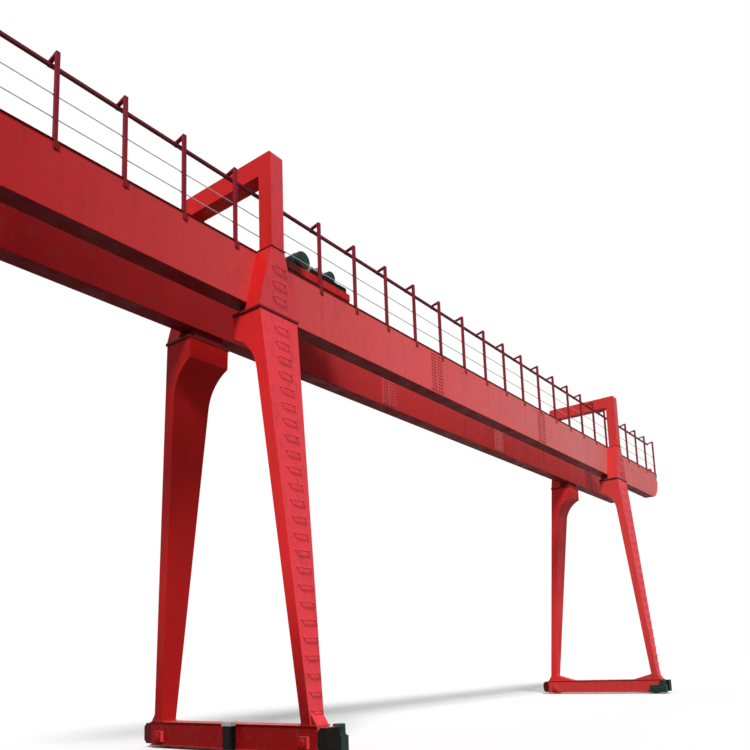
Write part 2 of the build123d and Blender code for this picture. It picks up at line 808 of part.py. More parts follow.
with BuildPart() as stands:
    for stand_rear in (drum_front, gearbox_front):
        with BuildSketch(Plane.XZ.offset(-stand_rear)):
            with Locations((drum_x, (deck_level + drum_axis) / 2)):
                Rectangle(drum_stand_width, drum_axis_height)
            with Locations((drum_x, drum_axis)):
                Circle(drum_stand_width / 2)
                Circle(drum_shaft_diameter / 2, mode=Mode.SUBTRACT)
        extrude(amount=drum_stand_thickness)
stands.part.label = "drum_stands"
export_step(stands.part, "parts/drum_stands.step")

with BuildPart() as switch:
    with BuildSketch(Plane.XZ.offset(-switch_rear)):
        with Locations((drum_x, (bed_level + drum_axis) / 2)):
            Rectangle(limit_switch_width, drum_axis - bed_level)
        with Locations((drum_x, drum_axis)):
            Circle(limit_switch_width / 2)
    extrude(amount=limit_switch_length)
switch.part.label = "limit_switch"
export_step(switch.part, "parts/limit_switch.step")

# Hoist motor across the trolley, with its brake and shaft running to the gearbox
motor_axis = bed_level + motor_foot_height + hoist_motor_diameter / 2
with BuildPart() as hoist_motor:
    with BuildSketch(Plane.XZ.offset(-motor_rear)):
        with Locations((motor_place, motor_axis)):
            Circle(hoist_motor_diameter / 2)
        with Locations((motor_place, (bed_level + motor_axis) / 2)):
            Rectangle(hoist_motor_diameter * motor_foot_margin_share, motor_axis - bed_level)
    extrude(amount=hoist_motor_length)
    with BuildSketch(Plane.XZ.offset(-gearbox_front)):
        with Locations((motor_place, motor_axis)):
            Circle(hoist_motor_shaft_diameter / 2)
    extrude(amount=gearbox_front - motor_rear)
hoist_motor.part.label = "hoist_motor"
export_step(hoist_motor.part, "parts/hoist_motor.step")

brake_line = (motor_rear + gearbox_front) / 2
brake_top = motor_axis + brake_rise
with BuildPart() as brake:
    with BuildSketch(Plane.XZ.offset(-(brake_line + brake_width / 2))):
        with Locations((motor_place, (deck_level + brake_top) / 2)):
            Rectangle(brake_length, brake_top - deck_level)
        with Locations((motor_place, motor_axis)):
            Circle(hoist_motor_shaft_diameter / 2, mode=Mode.SUBTRACT)
    extrude(amount=brake_width)
brake.part.label = "hoist_brake"
export_step(brake.part, "parts/hoist_brake.step")

with BuildPart() as hoist_gearbox:
    with BuildSketch(Plane.XY.offset(deck_level)):
        with Locations(((motor_place + drum_x) / 2, gearbox_front + hoist_gearbox_width / 2)):
            Rectangle(hoist_gearbox_length, hoist_gearbox_width)
    extrude(amount=hoist_gearbox_height)
hoist_gearbox.part.label = "hoist_gearbox"
export_step(hoist_gearbox.part, "parts/hoist_gearbox.step")

travel_place = trolley_place + trolley_motor_place
travel_axis = bed_level + trolley_motor_foot_height + trolley_motor_diameter / 2
with BuildPart() as trolley_motor:
    with BuildSketch(Plane.XZ.offset(-(motor_front + trolley_motor_length))):
        with Locations((travel_place, travel_axis)):
            Circle(trolley_motor_diameter / 2)
    extrude(amount=trolley_motor_length)
    with BuildSketch(Plane.XY.offset(bed_level)):
        with Locations((travel_place, bed_line)):
            Rectangle(trolley_motor_diameter * motor_foot_margin_share, bed_width)
    extrude(amount=travel_axis - bed_level)
trolley_motor.part.label = "trolley_motor"
export_step(trolley_motor.part, "parts/trolley_motor.step")

# Ropes, hook block and hook
block_top = girder_top - hook_block_drop
with BuildPart() as ropes:
    with BuildSketch(Plane.XY.offset(block_top)):
        with Locations((rope_place, 0)):
            with GridLocations(0, rope_gauge_width, 1, 2):
                Circle(rope_diameter / 2)
    extrude(amount=drum_axis - block_top)
ropes.part.label = "hoist_ropes"
export_step(ropes.part, "parts/hoist_ropes.step")

with BuildPart() as block:
    with BuildSketch(Plane.XZ):
        with Locations((rope_place, block_top - hook_block_height / 2)):
            Rectangle(hook_block_length, hook_block_height)
    extrude(amount=hook_block_width / 2, both=True)
block.part.label = "hook_block"
export_step(block.part, "parts/hook_block.step")

# Flat hook with a round bowl, open above on one side, under a straight shank
hook_top = block_top - hook_block_height
bowl_centre = hook_top - hook_shank - hook_radius
mouth = hook_radius + hook_bar
with BuildPart() as hook:
    with BuildSketch(Plane.YZ.offset(rope_place)):
        with Locations((0, bowl_centre)):
            Circle(hook_radius + hook_bar / 2)
            Circle(hook_radius - hook_bar / 2, mode=Mode.SUBTRACT)
        with Locations(((hook_bar + mouth) / 2, bowl_centre + mouth / 2)):
            Rectangle(mouth, mouth, mode=Mode.SUBTRACT)
        with Locations((0, hook_top - (hook_shank + hook_bar / 2) / 2)):
            Rectangle(hook_bar, hook_shank + hook_bar / 2)
    extrude(amount=hook_bar / 2, both=True)
hook.part.label = "hook"
export_step(hook.part, "parts/hook.step")
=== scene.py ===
# %% [markdown]
# # A red gantry crane
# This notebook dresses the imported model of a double-girder gantry crane. The solids already have their
# places and sizes in metres, with X along the girders, Y across them and Z up from the floor. Loading them
# first means that nothing has to be fitted by eye later: every bolt and rib is placed from a solid's corners.

# %% Load the frame
import math

import bpy
import numpy as np
from mathutils import Matrix, Vector


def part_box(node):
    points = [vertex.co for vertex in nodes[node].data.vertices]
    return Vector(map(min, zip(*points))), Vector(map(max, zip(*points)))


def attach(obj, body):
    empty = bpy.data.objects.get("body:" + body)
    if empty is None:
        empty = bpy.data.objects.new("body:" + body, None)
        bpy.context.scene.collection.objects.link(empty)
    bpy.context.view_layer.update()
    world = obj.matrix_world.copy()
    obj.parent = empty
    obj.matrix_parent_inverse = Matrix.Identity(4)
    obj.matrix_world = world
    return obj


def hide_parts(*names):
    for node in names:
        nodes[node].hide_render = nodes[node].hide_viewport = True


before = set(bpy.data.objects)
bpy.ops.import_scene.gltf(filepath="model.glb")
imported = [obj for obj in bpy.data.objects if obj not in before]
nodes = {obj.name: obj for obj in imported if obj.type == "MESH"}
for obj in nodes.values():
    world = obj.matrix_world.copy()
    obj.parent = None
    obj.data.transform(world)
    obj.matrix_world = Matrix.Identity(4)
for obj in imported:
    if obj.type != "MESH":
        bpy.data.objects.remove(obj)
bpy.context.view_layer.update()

# %% [markdown]
# ## The standpoint
# The crane is looked at from its near front corner, at a standing person's eye height. The camera's three
# axes are written down as unit vectors, right, up and back, which keeps the horizon level by construction.
# The small shifts slide the frame over the image plane, so upright legs stay upright, as in a photograph
# that was taken level and cropped.

# %% Camera
right_axis = Vector((0.59649, -0.80132, -0.03749))
up_axis = Vector((-0.10161, -0.12185, 0.98756))
back_axis = Vector((-0.79611, -0.58551, -0.15392))
eye = Vector((-18.718, -10.654, 1.502))
camera_data = bpy.data.cameras.new("standpoint")
camera_data.sensor_width = 36.0
camera_data.lens = 36.29
camera_data.shift_x = -0.01584
camera_data.shift_y = 0.22397
camera_data.clip_end = 500.0
camera = bpy.data.objects.new("standpoint", camera_data)
turn = Matrix((right_axis, up_axis, back_axis)).transposed().to_4x4()
camera.matrix_world = Matrix.Translation(eye) @ turn
bpy.context.scene.collection.objects.link(camera)
bpy.context.scene.camera = camera
bpy.context.scene.view_settings.view_transform = "Standard"
print("the camera stands at", tuple(eye))

# %% [markdown]
# ## Two small node helpers
# Light and paint are both written as node trees. One helper feeds a socket, from another node or with a plain
# number or colour. The other adds a node with its properties and all its inputs at once. With these two, a
# tree reads like a short list of steps instead of a page of links.

# %% Node helpers
def plug(tree, socket, value):
    """Joins a socket to another node's output, or writes a number or a colour of three parts on it."""
    if isinstance(value, bpy.types.NodeSocket):
        tree.links.new(value, socket)
    else:
        socket.default_value = (*value, 1) if socket.type == "RGBA" else value


def add_node(tree, kind, inputs=None, **settings):
    """Adds a node, sets its properties by name and feeds its inputs by name or number. Returns the node."""
    node = tree.nodes.new(kind)
    for key, value in settings.items():
        setattr(node, key, value)
    for key, value in (inputs or {}).items():
        plug(tree, node.inputs[key], value)
    return node


def calculated(tree, operation, first, second):
    """Result of a sum with two values, each a node's output or a plain number."""
    return add_node(tree, "ShaderNodeMath", {0: first, 1: second}, operation=operation).outputs[0]


# %% [markdown]
# ## Daylight on a pale floor
# One broad, hazy sun from the near left gives the end faces the most light, and an even sky fills the shade.
# The sky is white where the camera or a reflection meets it, and dimmer where it lights the paint, so the
# colours render about as they are written. The floor is white to the camera and keeps the shadow, but it
# throws little light back, which leaves the undersides dark, as yard ground does.

# %% Light
def two_looks(owner, output_kind, shader_kind, usual, special, rays):
    """Tree of a world or a material: usual settings for most rays, special ones for the named rays."""
    owner.use_nodes = True
    tree = owner.node_tree
    tree.nodes.clear()
    path_node = add_node(tree, "ShaderNodeLightPath")
    named = 0.0
    for ray in rays:
        named = calculated(tree, "MAXIMUM", named, path_node.outputs[ray])
    usual, special = [add_node(tree, shader_kind, settings).outputs[0] for settings in (usual, special)]
    chosen = add_node(tree, "ShaderNodeMixShader", {0: named, 1: usual, 2: special})
    add_node(tree, output_kind, {"Surface": chosen.outputs[0]})


sun_data = bpy.data.lights.new("sun", "SUN")
sun_data.energy = 3.0
sun_data.angle = 0.30
sun = bpy.data.objects.new("sun", sun_data)
towards_sun = Vector((-0.56, -0.44, 0.70))
sun.rotation_euler = towards_sun.to_track_quat("Z", "Y").to_euler()
bpy.context.scene.collection.objects.link(sun)
sky = bpy.data.worlds.new("sky")
bpy.context.scene.world = sky
two_looks(sky, "ShaderNodeOutputWorld", "ShaderNodeBackground",
          {"Color": (0.97, 0.985, 1.0), "Strength": 0.42}, {"Color": (1, 1, 1), "Strength": 1.0},
          ("Is Camera Ray", "Is Glossy Ray", "Is Transmission Ray"))
print("sun strength:", sun_data.energy)

# %% Floor
floor_half = 160.0
floor_corners = np.array([(-1, -1, 0), (1, -1, 0), (1, 1, 0), (-1, 1, 0)], float) * floor_half
floor_mesh = bpy.data.meshes.new("floor")
floor_mesh.from_pydata(floor_corners.tolist(), [], [(0, 1, 2, 3)])
floor = bpy.data.objects.new("floor", floor_mesh)
bpy.context.scene.collection.objects.link(floor)
floor_paint = bpy.data.materials.new("pale_floor")
two_looks(floor_paint, "ShaderNodeOutputMaterial", "ShaderNodeBsdfDiffuse",
          {"Color": (0.95, 0.95, 0.95)}, {"Color": (0.17, 0.16, 0.155)}, ("Is Diffuse Ray",))
floor_mesh.materials.append(floor_paint)
print("floor:", 2 * floor_half, "m square")

# %% [markdown]
# ## A small paint kit
# A finish is a chain of layers: a base colour, patches, streaks, dirt, worn edges. Each layer is a mask
# between 0 and 1 that mixes a new colour over the last. Such chains need masks from stretched noise, masks
# from the place or the facing of a surface, and a way to lay one colour over another. All patterns are read
# from object coordinates in metres, so a streak on a leg has a real length.

# %% Masks
def cut_range(tree, value, low, high, start=0.0, end=1.0):
    """Straight ramp from start to end between two values, flat outside them."""
    ends = {"From Min": low, "From Max": high, "To Min": start, "To Max": end}
    return add_node(tree, "ShaderNodeMapRange", {"Value": value, **ends}, clamp=True).outputs["Result"]


def own_place(tree, kind="Object"):
    """Coordinates of a point, or its normal, as the object itself has them."""
    return add_node(tree, "ShaderNodeTexCoord").outputs[kind]


def noise_mask(tree, scale, low, high, detail=4.0, stretch=(1, 1, 1), seed=0.0):
    """Noise in object coordinates, cut so that it is 0 up to low and 1 from high on."""
    shift = add_node(tree, "ShaderNodeMapping", {
        "Location": (seed, seed * 1.7, seed * 2.3), "Scale": stretch, "Vector": own_place(tree)})
    noise = add_node(tree, "ShaderNodeTexNoise", {
        "Scale": scale, "Detail": detail, "Vector": shift.outputs["Vector"]})
    return cut_range(tree, noise.outputs["Fac"], low, high)


def dot_product(tree, first, second):
    """Product of two directions: 1 where they agree, 0 where they are square to each other."""
    product = add_node(tree, "ShaderNodeVectorMath", {0: first, 1: second}, operation="DOT_PRODUCT")
    return product.outputs["Value"]


def facing(tree, direction, low, high):
    """Mask of the faces whose own normal points along a direction of the object."""
    return cut_range(tree, dot_product(tree, own_place(tree, "Normal"), direction), low, high)


def along(tree, axis, low, high):
    """Mask that rises along one axis of the object between two places in metres."""
    split = add_node(tree, "ShaderNodeSeparateXYZ", {0: own_place(tree)})
    return cut_range(tree, split.outputs[axis], low, high)


# %% Layers
def times(tree, first, second):
    """Product of two masks, or of a mask and a number."""
    return calculated(tree, "MULTIPLY", first, second)


def layer(tree, mask, under, over):
    """Colour over laid on colour under where the mask is 1."""
    return add_node(tree, "ShaderNodeMix", {"Factor": mask, 6: under, 7: over}, data_type="RGBA").outputs[2]


# %% [markdown]
# ## Worn edges
# Paint goes first on edges, and plate edges are never dead sharp. The bevel node rounds the shading normal
# inside a small radius of an edge without touching the mesh. Where the rounded normal differs from the flat
# one, there is an edge, so the same node gives both a soft glint and the mask for rubbed paint.

# %% Edges and bumps
def edge_wear(tree, radius):
    """Rounded normal, and a mask that is 1 on edges: one minus the dot product of both normals."""
    rounded = add_node(tree, "ShaderNodeBevel", {"Radius": radius}, samples=4).outputs["Normal"]
    flat = add_node(tree, "ShaderNodeNewGeometry").outputs["Normal"]
    return rounded, cut_range(tree, dot_product(tree, rounded, flat), 0.97, 0.80)


def bump(tree, height, distance, strength, normal):
    """Bump from a height mask, laid on another normal."""
    inputs = {"Height": height, "Distance": distance, "Strength": strength, "Normal": normal}
    return add_node(tree, "ShaderNodeBump", inputs).outputs["Normal"]


# %% [markdown]
# ## Outdoor paint
# A yard crane is painted plate that has stood in sun and rain. Its finish is built from the large to the
# small: slow changes of tone over metres, painted haze and shade that change along the crane, painted sky
# light that makes the south faces paler and pinker, painted shade low on the west faces, rain streaks that
# run down from the edges, grey grime, rust where water sits, and a fine orange peel in the gloss. One
# function makes every painted finish, and its numbers say how much of each layer a piece carries.

# %% Painted steel
def fresh_material(name):
    """A new material with its node tree and its shader node."""
    material = bpy.data.materials.new(name)
    material.use_nodes = True
    return material, material.node_tree, material.node_tree.nodes["Principled BSDF"]


def painted_steel(name, colour, faded, streak_colour=(0.10, 0.006, 0.006), fade=0.5, streaks=0.5, grime=0.25,
                  grime_colour=(0.14, 0.05, 0.042), rust=0.5, south_sky_light=None, haze_and_shade_along_x=(), low_west_shade=None, band_of_paint_dirt_and_shade=None,
                  gloss=0.42, edge=0.006, edge_colour=(0.20, 0.07, 0.05), specular=0.05, size=1.0):
    """Fade, painted haze and shade along X, painted sky light on south faces, painted shade low on west
    faces, streaks, grime, a band of dirt, paint and shade, worn edges and rust over a base colour.
    """
    material, tree, shader = fresh_material(name)
    tone = times(tree, noise_mask(tree, 0.45 / size, 0.30, 0.72, 5.0, (1, 1, 1.8)), fade)
    paint = layer(tree, tone, colour, faded)
    # painted haze and shade: the colour changes along X, darker at the near end and paler far off
    for start, end, pale in haze_and_shade_along_x:
        paint = layer(tree, times(tree, along(tree, 0, start, end), 0.95), paint, pale)
    # painted sky light: faces turned south get a paler, pinker colour
    if south_sky_light:
        paint = layer(tree, times(tree, facing(tree, (0, -1, 0.15), 0.55, 0.95), 0.85), paint, south_sky_light)
    # painted shade: west faces turn darker towards the floor and towards the near end
    if low_west_shade:
        low = times(tree, along(tree, 2, 3.2, 0.7), facing(tree, (-1, 0, 0), 0.5, 0.95))
        paint = layer(tree, times(tree, low, along(tree, 0, 16.0, -12.0)), paint, low_west_shade)
    rain = times(tree, noise_mask(tree, 5.5 / size, 0.50, 0.74, 3.0, (1, 1, 0.045), 3.0), streaks)
    broken = times(tree, rain, noise_mask(tree, 1.1 / size, 0.36, 0.62, 3.0, (1, 1, 0.8), 7.0))
    paint = layer(tree, broken, paint, streak_colour)
    dust = times(tree, noise_mask(tree, 9.0 / size, 0.52, 0.70, 8.0, (1, 1, 0.6), 11.0), grime)
    paint = layer(tree, dust, paint, grime_colour)
    paint = layer(tree, times(tree, facing(tree, (0, 0, 1), 0.6, 1.0), 0.4), paint, (0.25, 0.17, 0.15))
    # a band along one axis: real dirt, other paint, and at the leg joints painted shade
    if band_of_paint_dirt_and_shade:
        axis, start, end, soft, band_colour = band_of_paint_dirt_and_shade
        band = times(tree, along(tree, axis, start - soft, start), along(tree, axis, end + soft, end))
        paint = layer(tree, times(tree, band, 0.85), paint, band_colour)
    normal, rubbed = edge_wear(tree, edge)
    chipped = times(tree, rubbed, noise_mask(tree, 14.0 / size, 0.42, 0.60, 6.0, (1, 1, 1), 2.0))
    paint = layer(tree, times(tree, chipped, 0.75), paint, edge_colour)
    pits = times(tree, noise_mask(tree, 2.6 / size, 0.60, 0.72, 6.0, (1, 1, 0.5), 5.0),
                 noise_mask(tree, 31.0 / size, 0.50, 0.62, 5.0, (1, 1, 1), 9.0))
    spots = times(tree, pits, rust)
    plug(tree, shader.inputs["Base Color"], layer(tree, spots, paint, (0.15, 0.045, 0.018)))
    dulled = noise_mask(tree, 3.0 / size, 0.25, 0.75, 6.0, (1, 1, 0.4), 4.0)
    matt = cut_range(tree, dulled, 0.0, 1.0, gloss - 0.09, gloss + 0.17)
    plug(tree, shader.inputs["Roughness"], calculated(tree, "MAXIMUM", matt, times(tree, spots, 0.9)))
    plug(tree, shader.inputs["Specular IOR Level"], specular)
    dents = noise_mask(tree, 1.3 / size, 0.2, 0.8, 2.0, (1, 1, 1), 6.0)
    waves = bump(tree, dents, 0.012 * size, 0.55, normal)
    peel = bump(tree, noise_mask(tree, 170.0 / size, 0.2, 0.8, 2.0), 0.0006, 0.35, waves)
    plug(tree, shader.inputs["Normal"], bump(tree, spots, 0.002, 0.6, peel))
    return material


# %% [markdown]
# ## Bare steel
# Rails, rods, wheels and ropes carry little or no paint. Drawing and rolling leave a fine grain, wear keeps
# the edges bright, and rust takes the shine away where it sits, so the rust mask also lowers the metal value.

# %% Rolled steel
def rolled_steel(name, colour, dull_colour, metal=0.75, gloss=0.42, grain=(1, 1, 1), rust=0.5, size=1.0):
    """Bare or thinly coated steel: drawn grain, dull patches, rust in spots, bright edges."""
    material, tree, shader = fresh_material(name)
    patches = noise_mask(tree, 1.8 / size, 0.35, 0.68, 6.0)
    steel = layer(tree, patches, colour, dull_colour)
    drawn = noise_mask(tree, 60.0, 0.30, 0.72, 4.0, grain, 2.0)
    steel = layer(tree, times(tree, drawn, 0.35), steel, tuple(0.55 * c for c in colour))
    normal, rubbed = edge_wear(tree, 0.003)
    steel = layer(tree, times(tree, rubbed, 0.5), steel, tuple(min(1.0, 1.8 * c) for c in colour))
    spots = times(tree, noise_mask(tree, 12.0 / size, 0.52, 0.66, 7.0, (1, 1, 1), 8.0), rust)
    plug(tree, shader.inputs["Base Color"], layer(tree, spots, steel, (0.14, 0.055, 0.025)))
    plug(tree, shader.inputs["Metallic"], cut_range(tree, spots, 0.0, 1.0, metal, 0.1))
    plug(tree, shader.inputs["Roughness"], cut_range(tree, patches, 0.0, 1.0, gloss - 0.08, gloss + 0.22))
    plug(tree, shader.inputs["Specular IOR Level"], 0.4)
    grain_bump = bump(tree, drawn, 0.0008, 0.4, normal)
    plug(tree, shader.inputs["Normal"], bump(tree, spots, 0.0015, 0.6, grain_bump))
    return material


# %% [markdown]
# ## The crane's own finishes
# The girders, the legs and the railings carry three reds: a deeper one on the long webs, a cleaner one on
# the legs, painted paler and pinker on its south faces as painted sky light, and a dark wine red on the
# posts. Darker copies of these reds on the flanges, the plates, the rear web and the rear legs are painted
# shade. The machines are dark green, the running gear nearly black, and only the caps at the rear ends of
# the sill beams are a dark red. Every finish is a row of a table: a colour, the colour it fades to, and the
# layers that differ from the usual ones. Rows of painted haze and shade run along X: darker at the near end
# as painted shade, paler far off as painted haze.

# %% Finishes
# joint band: a dark joint with painted shade below the joint plates
joint_dirt_and_shade = (2, 7.918, 7.972, 0.012, (0.050, 0.006, 0.007))
motor_oil = (0, -9.0, -8.02, 0.16, (0.030, 0.010, 0.009))
rear_caps = (1, 1.9, 2.6, 0.05, (0.085, 0.007, 0.006))
paints = {
    "web_red": ((0.52, 0.022, 0.025), (0.56, 0.034, 0.037), dict(
        streaks=0.16, grime=0.12, rust=0.35, haze_and_shade_along_x=(
            (-14.0, -4.5, (0.87, 0.120, 0.125)), (-3.0, 6.0, (0.76, 0.20, 0.195)),
            (7.0, 13.0, (0.74, 0.15, 0.14))))),
    "bolt_red": ((0.36, 0.020, 0.024), (0.42, 0.03, 0.034), dict(
        rust=0.8, size=0.2, haze_and_shade_along_x=((-12.0, -1.0, (0.48, 0.045, 0.05)),))),
    # painted shadow: the rear web is darker at its near end, where the front girder shades it
    "inner_red": ((0.28, 0.007, 0.009), (0.32, 0.014, 0.016), dict(
        streaks=0.22, haze_and_shade_along_x=((-13.0, -3.0, (0.72, 0.050, 0.052)), (-2.0, 2.0, (0.58, 0.045, 0.045))))),
    # painted shade: a darker copy of the girder red for the flanges, seen as shaded edges and undersides
    "shaded_flange_red": ((0.15, 0.003, 0.004), (0.18, 0.008, 0.009), dict(
        streaks=0.4, haze_and_shade_along_x=((-15.0, 9.0, (0.30, 0.03, 0.03)),), rust=0.6, gloss=0.5, specular=0.03)),
    "leg_red": ((0.80, 0.020, 0.022), (0.80, 0.040, 0.042), dict(
        streaks=0.25, haze_and_shade_along_x=((-6.0, 9.0, (0.74, 0.060, 0.058)),), south_sky_light=(0.93, 0.072, 0.094),
        low_west_shade=(0.17, 0.002, 0.002), rust=0.35, band_of_paint_dirt_and_shade=joint_dirt_and_shade)),
    "saddle_red": ((0.64, 0.014, 0.014), (0.66, 0.030, 0.030), dict(
        streaks=0.25, haze_and_shade_along_x=((-6.0, 9.0, (0.68, 0.045, 0.045)),), south_sky_light=(0.78, 0.074, 0.092), rust=0.35,
        band_of_paint_dirt_and_shade=joint_dirt_and_shade)),
    # painted shade: a darker copy of the leg red; the near rear leg keeps it, the far one is paled along X
    "rear_leg_red": ((0.54, 0.014, 0.013), (0.58, 0.020, 0.020), dict(
        streaks=0.25, haze_and_shade_along_x=((-6.0, 9.0, (0.90, 0.040, 0.044)),), low_west_shade=(0.30, 0.003, 0.004), rust=0.35,
        band_of_paint_dirt_and_shade=joint_dirt_and_shade)),
    # painted shade: a darker copy of the red for plates, seats and brackets that sit in shade
    "shaded_plate_red": ((0.20, 0.008, 0.012), (0.28, 0.02, 0.022), dict(
        haze_and_shade_along_x=((-15.0, 9.0, (0.42, 0.05, 0.05)),), rust=0.8, gloss=0.5)),
    "rail_red": ((0.24, 0.014, 0.032), (0.32, 0.03, 0.045), dict(
        streaks=0.4, rust=0.7, gloss=0.5, edge=0.003, size=0.4)),
    "trolley_red": ((0.60, 0.016, 0.018), (0.66, 0.05, 0.05), dict(
        rust=0.6, edge=0.004, band_of_paint_dirt_and_shade=motor_oil, size=0.5)),
    "machine_green": ((0.009, 0.028, 0.024), (0.022, 0.050, 0.044), dict(
        streak_colour=(0.012, 0.02, 0.018), grime_colour=(0.05, 0.05, 0.04), gloss=0.45, specular=0.15,
        edge=0.003, edge_colour=(0.10, 0.11, 0.10), size=0.3)),
    "black_paint": ((0.004, 0.0036, 0.003), (0.012, 0.010, 0.009), dict(
        streak_colour=(0.004, 0.004, 0.004), grime_colour=(0.040, 0.032, 0.026), gloss=0.5, specular=0.06,
        edge=0.003, band_of_paint_dirt_and_shade=rear_caps, edge_colour=(0.09, 0.08, 0.075), size=0.3)),
    "grey_paint": ((0.30, 0.30, 0.29), (0.42, 0.42, 0.41), dict(
        streak_colour=(0.10, 0.09, 0.08), grime_colour=(0.16, 0.14, 0.12), specular=0.3, edge=0.003,
        edge_colour=(0.45, 0.45, 0.44), size=0.3)),
    "track_paint": ((0.15, 0.018, 0.026), (0.20, 0.036, 0.042), dict(
        streak_colour=(0.04, 0.03, 0.03), rust=0.9, gloss=0.5, edge=0.003, size=0.4)),
    "yellow_paint": ((0.72, 0.40, 0.03), (0.75, 0.50, 0.12), dict(
        streak_colour=(0.12, 0.07, 0.03), rust=0.9, gloss=0.45, edge=0.004, size=0.15)),
}
steels = {
    "rail_steel": ((0.34, 0.31, 0.29), (0.20, 0.15, 0.12), dict(grain=(0.02, 1, 1), rust=0.9)),
    "rod_steel": ((0.52, 0.52, 0.52), (0.38, 0.37, 0.36), dict(grain=(0.03, 1, 1), metal=0.35, rust=0.3)),
    "wheel_steel": ((0.26, 0.24, 0.23), (0.12, 0.10, 0.09), dict(rust=0.8, size=0.3)),
    "bolt_steel": ((0.22, 0.10, 0.09), (0.14, 0.07, 0.06), dict(metal=0.3, rust=0.7, size=0.1)),
    "greased_steel": ((0.20, 0.19, 0.175), (0.10, 0.09, 0.08), dict(gloss=0.3, rust=0.3, size=0.1)),
}
finishes = {name: painted_steel(name, colour, faded, **layers)
            for name, (colour, faded, layers) in paints.items()}
finishes |= {name: rolled_steel(name, colour, dull, **layers)
             for name, (colour, dull, layers) in steels.items()}
print("finishes:", len(finishes))

# %% Dress every solid
dress = {
    "web_red": ["front_webs", "girder_end_plates", "splice_plates"],
    "inner_red": ["rear_webs"],
    "shaded_flange_red": ["front_top_flange", "rear_top_flange", "front_bottom_flange", "rear_bottom_flange"],
    "leg_red": [n for n in nodes if n.endswith(("front_leg", "_sill_beam"))] + ["near_rungs", "far_rungs"],
    "saddle_red": [n for n in nodes if n.endswith(("_ear", "_saddle"))] + ["trolley_stops"],
    "rear_leg_red": ["near_rear_leg", "far_rear_leg"],
    "shaded_plate_red": ["near_flange_plates", "far_flange_plates", "girder_seats", "post_brackets"],
    "rail_red": ["front_rail_posts", "rear_rail_posts", "rear_handrails"],
    "trolley_red": ["trolley_frame", "drum_stands"],
    "machine_green": ["hoist_motor", "trolley_motor", "travel_motors", "travel_gearboxes", "hoist_gearbox"],
    "black_paint": ["sill_end_caps", "terminal_box", "machine_bed", "hoist_brake"],
    "grey_paint": ["limit_switch"],
    "track_paint": ["cable_track"],
    "yellow_paint": ["hook", "hook_block"],
    "rail_steel": ["trolley_rails"],
    "rod_steel": ["front_rail_rods"],
    "wheel_steel": ["gantry_wheels", "trolley_wheels"],
    "greased_steel": ["rope_drum", "hoist_ropes"],
}
for finish_name, dressed in dress.items():
    for node_name in dressed:
        mesh = nodes[node_name].data
        mesh.materials.clear()
        mesh.materials.append(finishes[finish_name])
undressed = sorted(set(nodes) - {n for group in dress.values() for n in group})
print("solids without a finish:", undressed)

# %% [markdown]
# ## From arrays to meshes
# Each added piece is a list of points and a list of faces, worked out with numpy and handed over in one go.
# Small shapes that repeat, such as bolts, are made once and stamped at many places by adding a table of
# positions to the points. That keeps thousands of bolts in a single light mesh with no loop over vertices.
# In this notebook a shape is always such a pair, points and faces, and a piece is made from a list of shapes.

# %% Shapes in general
def rows_of(x, y, z):
    """Points from their three coordinates, where a single number is repeated to match the arrays."""
    return np.stack(np.broadcast_arrays(x, y, z), -1).astype(float)


def placed(shape, place=(0, 0, 0), normal=None):
    """Moves a shape. A normal, if given, first turns its local z that way, with local y nearest to up."""
    points, faces = shape
    if normal is not None:
        z = np.array(normal, float) / np.linalg.norm(normal)
        x = np.cross((0.0, 0.0, 1.0) if abs(z[2]) < 0.95 else (1.0, 0.0, 0.0), z)
        x /= np.linalg.norm(x)
        points = points @ np.array([x, np.cross(z, x), z])
    return points + np.asarray(place, float), faces


def stamped(shape, places):
    """Copies one shape to many places: points plus positions, faces plus the matching offsets."""
    points, faces = shape
    all_points = points[None, :, :] + np.asarray(places, float)[:, None, :]
    all_faces = [[i + k * len(points) for i in face] for k in range(len(places)) for face in faces]
    return all_points.reshape(-1, 3), all_faces


def joined(*shapes):
    """One shape from several: points in a row, faces shifted past the points before them."""
    faces, start = [], 0
    for some_points, some_faces in shapes:
        faces.extend([i + start for i in face] for face in some_faces)
        start += len(some_points)
    return np.concatenate([some_points for some_points, some_faces in shapes]), faces


# %% Pieces
def make_piece(name, shapes, finish, body, smooth=True):
    """A mesh object from a list of shapes, with a finish, riding on a body. Returns the object."""
    points, faces = joined(*shapes)
    mesh = bpy.data.meshes.new(name)
    mesh.from_pydata(points.tolist(), [], faces)
    mesh.validate()
    if smooth:
        mesh.shade_smooth()
        mesh.set_sharp_from_angle(angle=math.radians(35))
    mesh.materials.append(finishes[finish])
    piece = bpy.data.objects.new(name, mesh)
    bpy.context.scene.collection.objects.link(piece)
    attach(piece, body)
    print(f"{name}: {len(points)} points, {len(faces)} faces")
    return piece


# %% [markdown]
# ## Round surfaces
# Most machine parts are round. One grid covers them all: each ring of the grid is a circle about the local z
# axis, and the radius may differ from ring to ring, as in a turned part, or from point to point, as in a
# ribbed motor or a grooved drum. Neighbouring rings are joined by quads, and both ends are closed.

# %% Grids and turned parts
def ring_faces(rings, around):
    """Quads between neighbouring rings of a grid, and a flat face over each end."""
    row, column = np.arange(rings - 1)[:, None] * around, np.arange(around)
    after = (column + 1) % around
    quads = np.stack([row + column, row + after, row + around + after, row + around + column], -1)
    ends = [list(range(around))[::-1], list(range((rings - 1) * around, rings * around))]
    return quads.reshape(-1, 4).tolist() + ends


def full_turn(count):
    """Angles evenly spaced round a circle."""
    return np.linspace(0, 2 * np.pi, count, endpoint=False)


def round_surface(radius, angle, height):
    """Grid about local z: each point is radius times the cosine and sine of its angle, at its height."""
    points = rows_of(radius * np.cos(angle), radius * np.sin(angle), height)
    return points.reshape(-1, 3), ring_faces(*points.shape[:2])


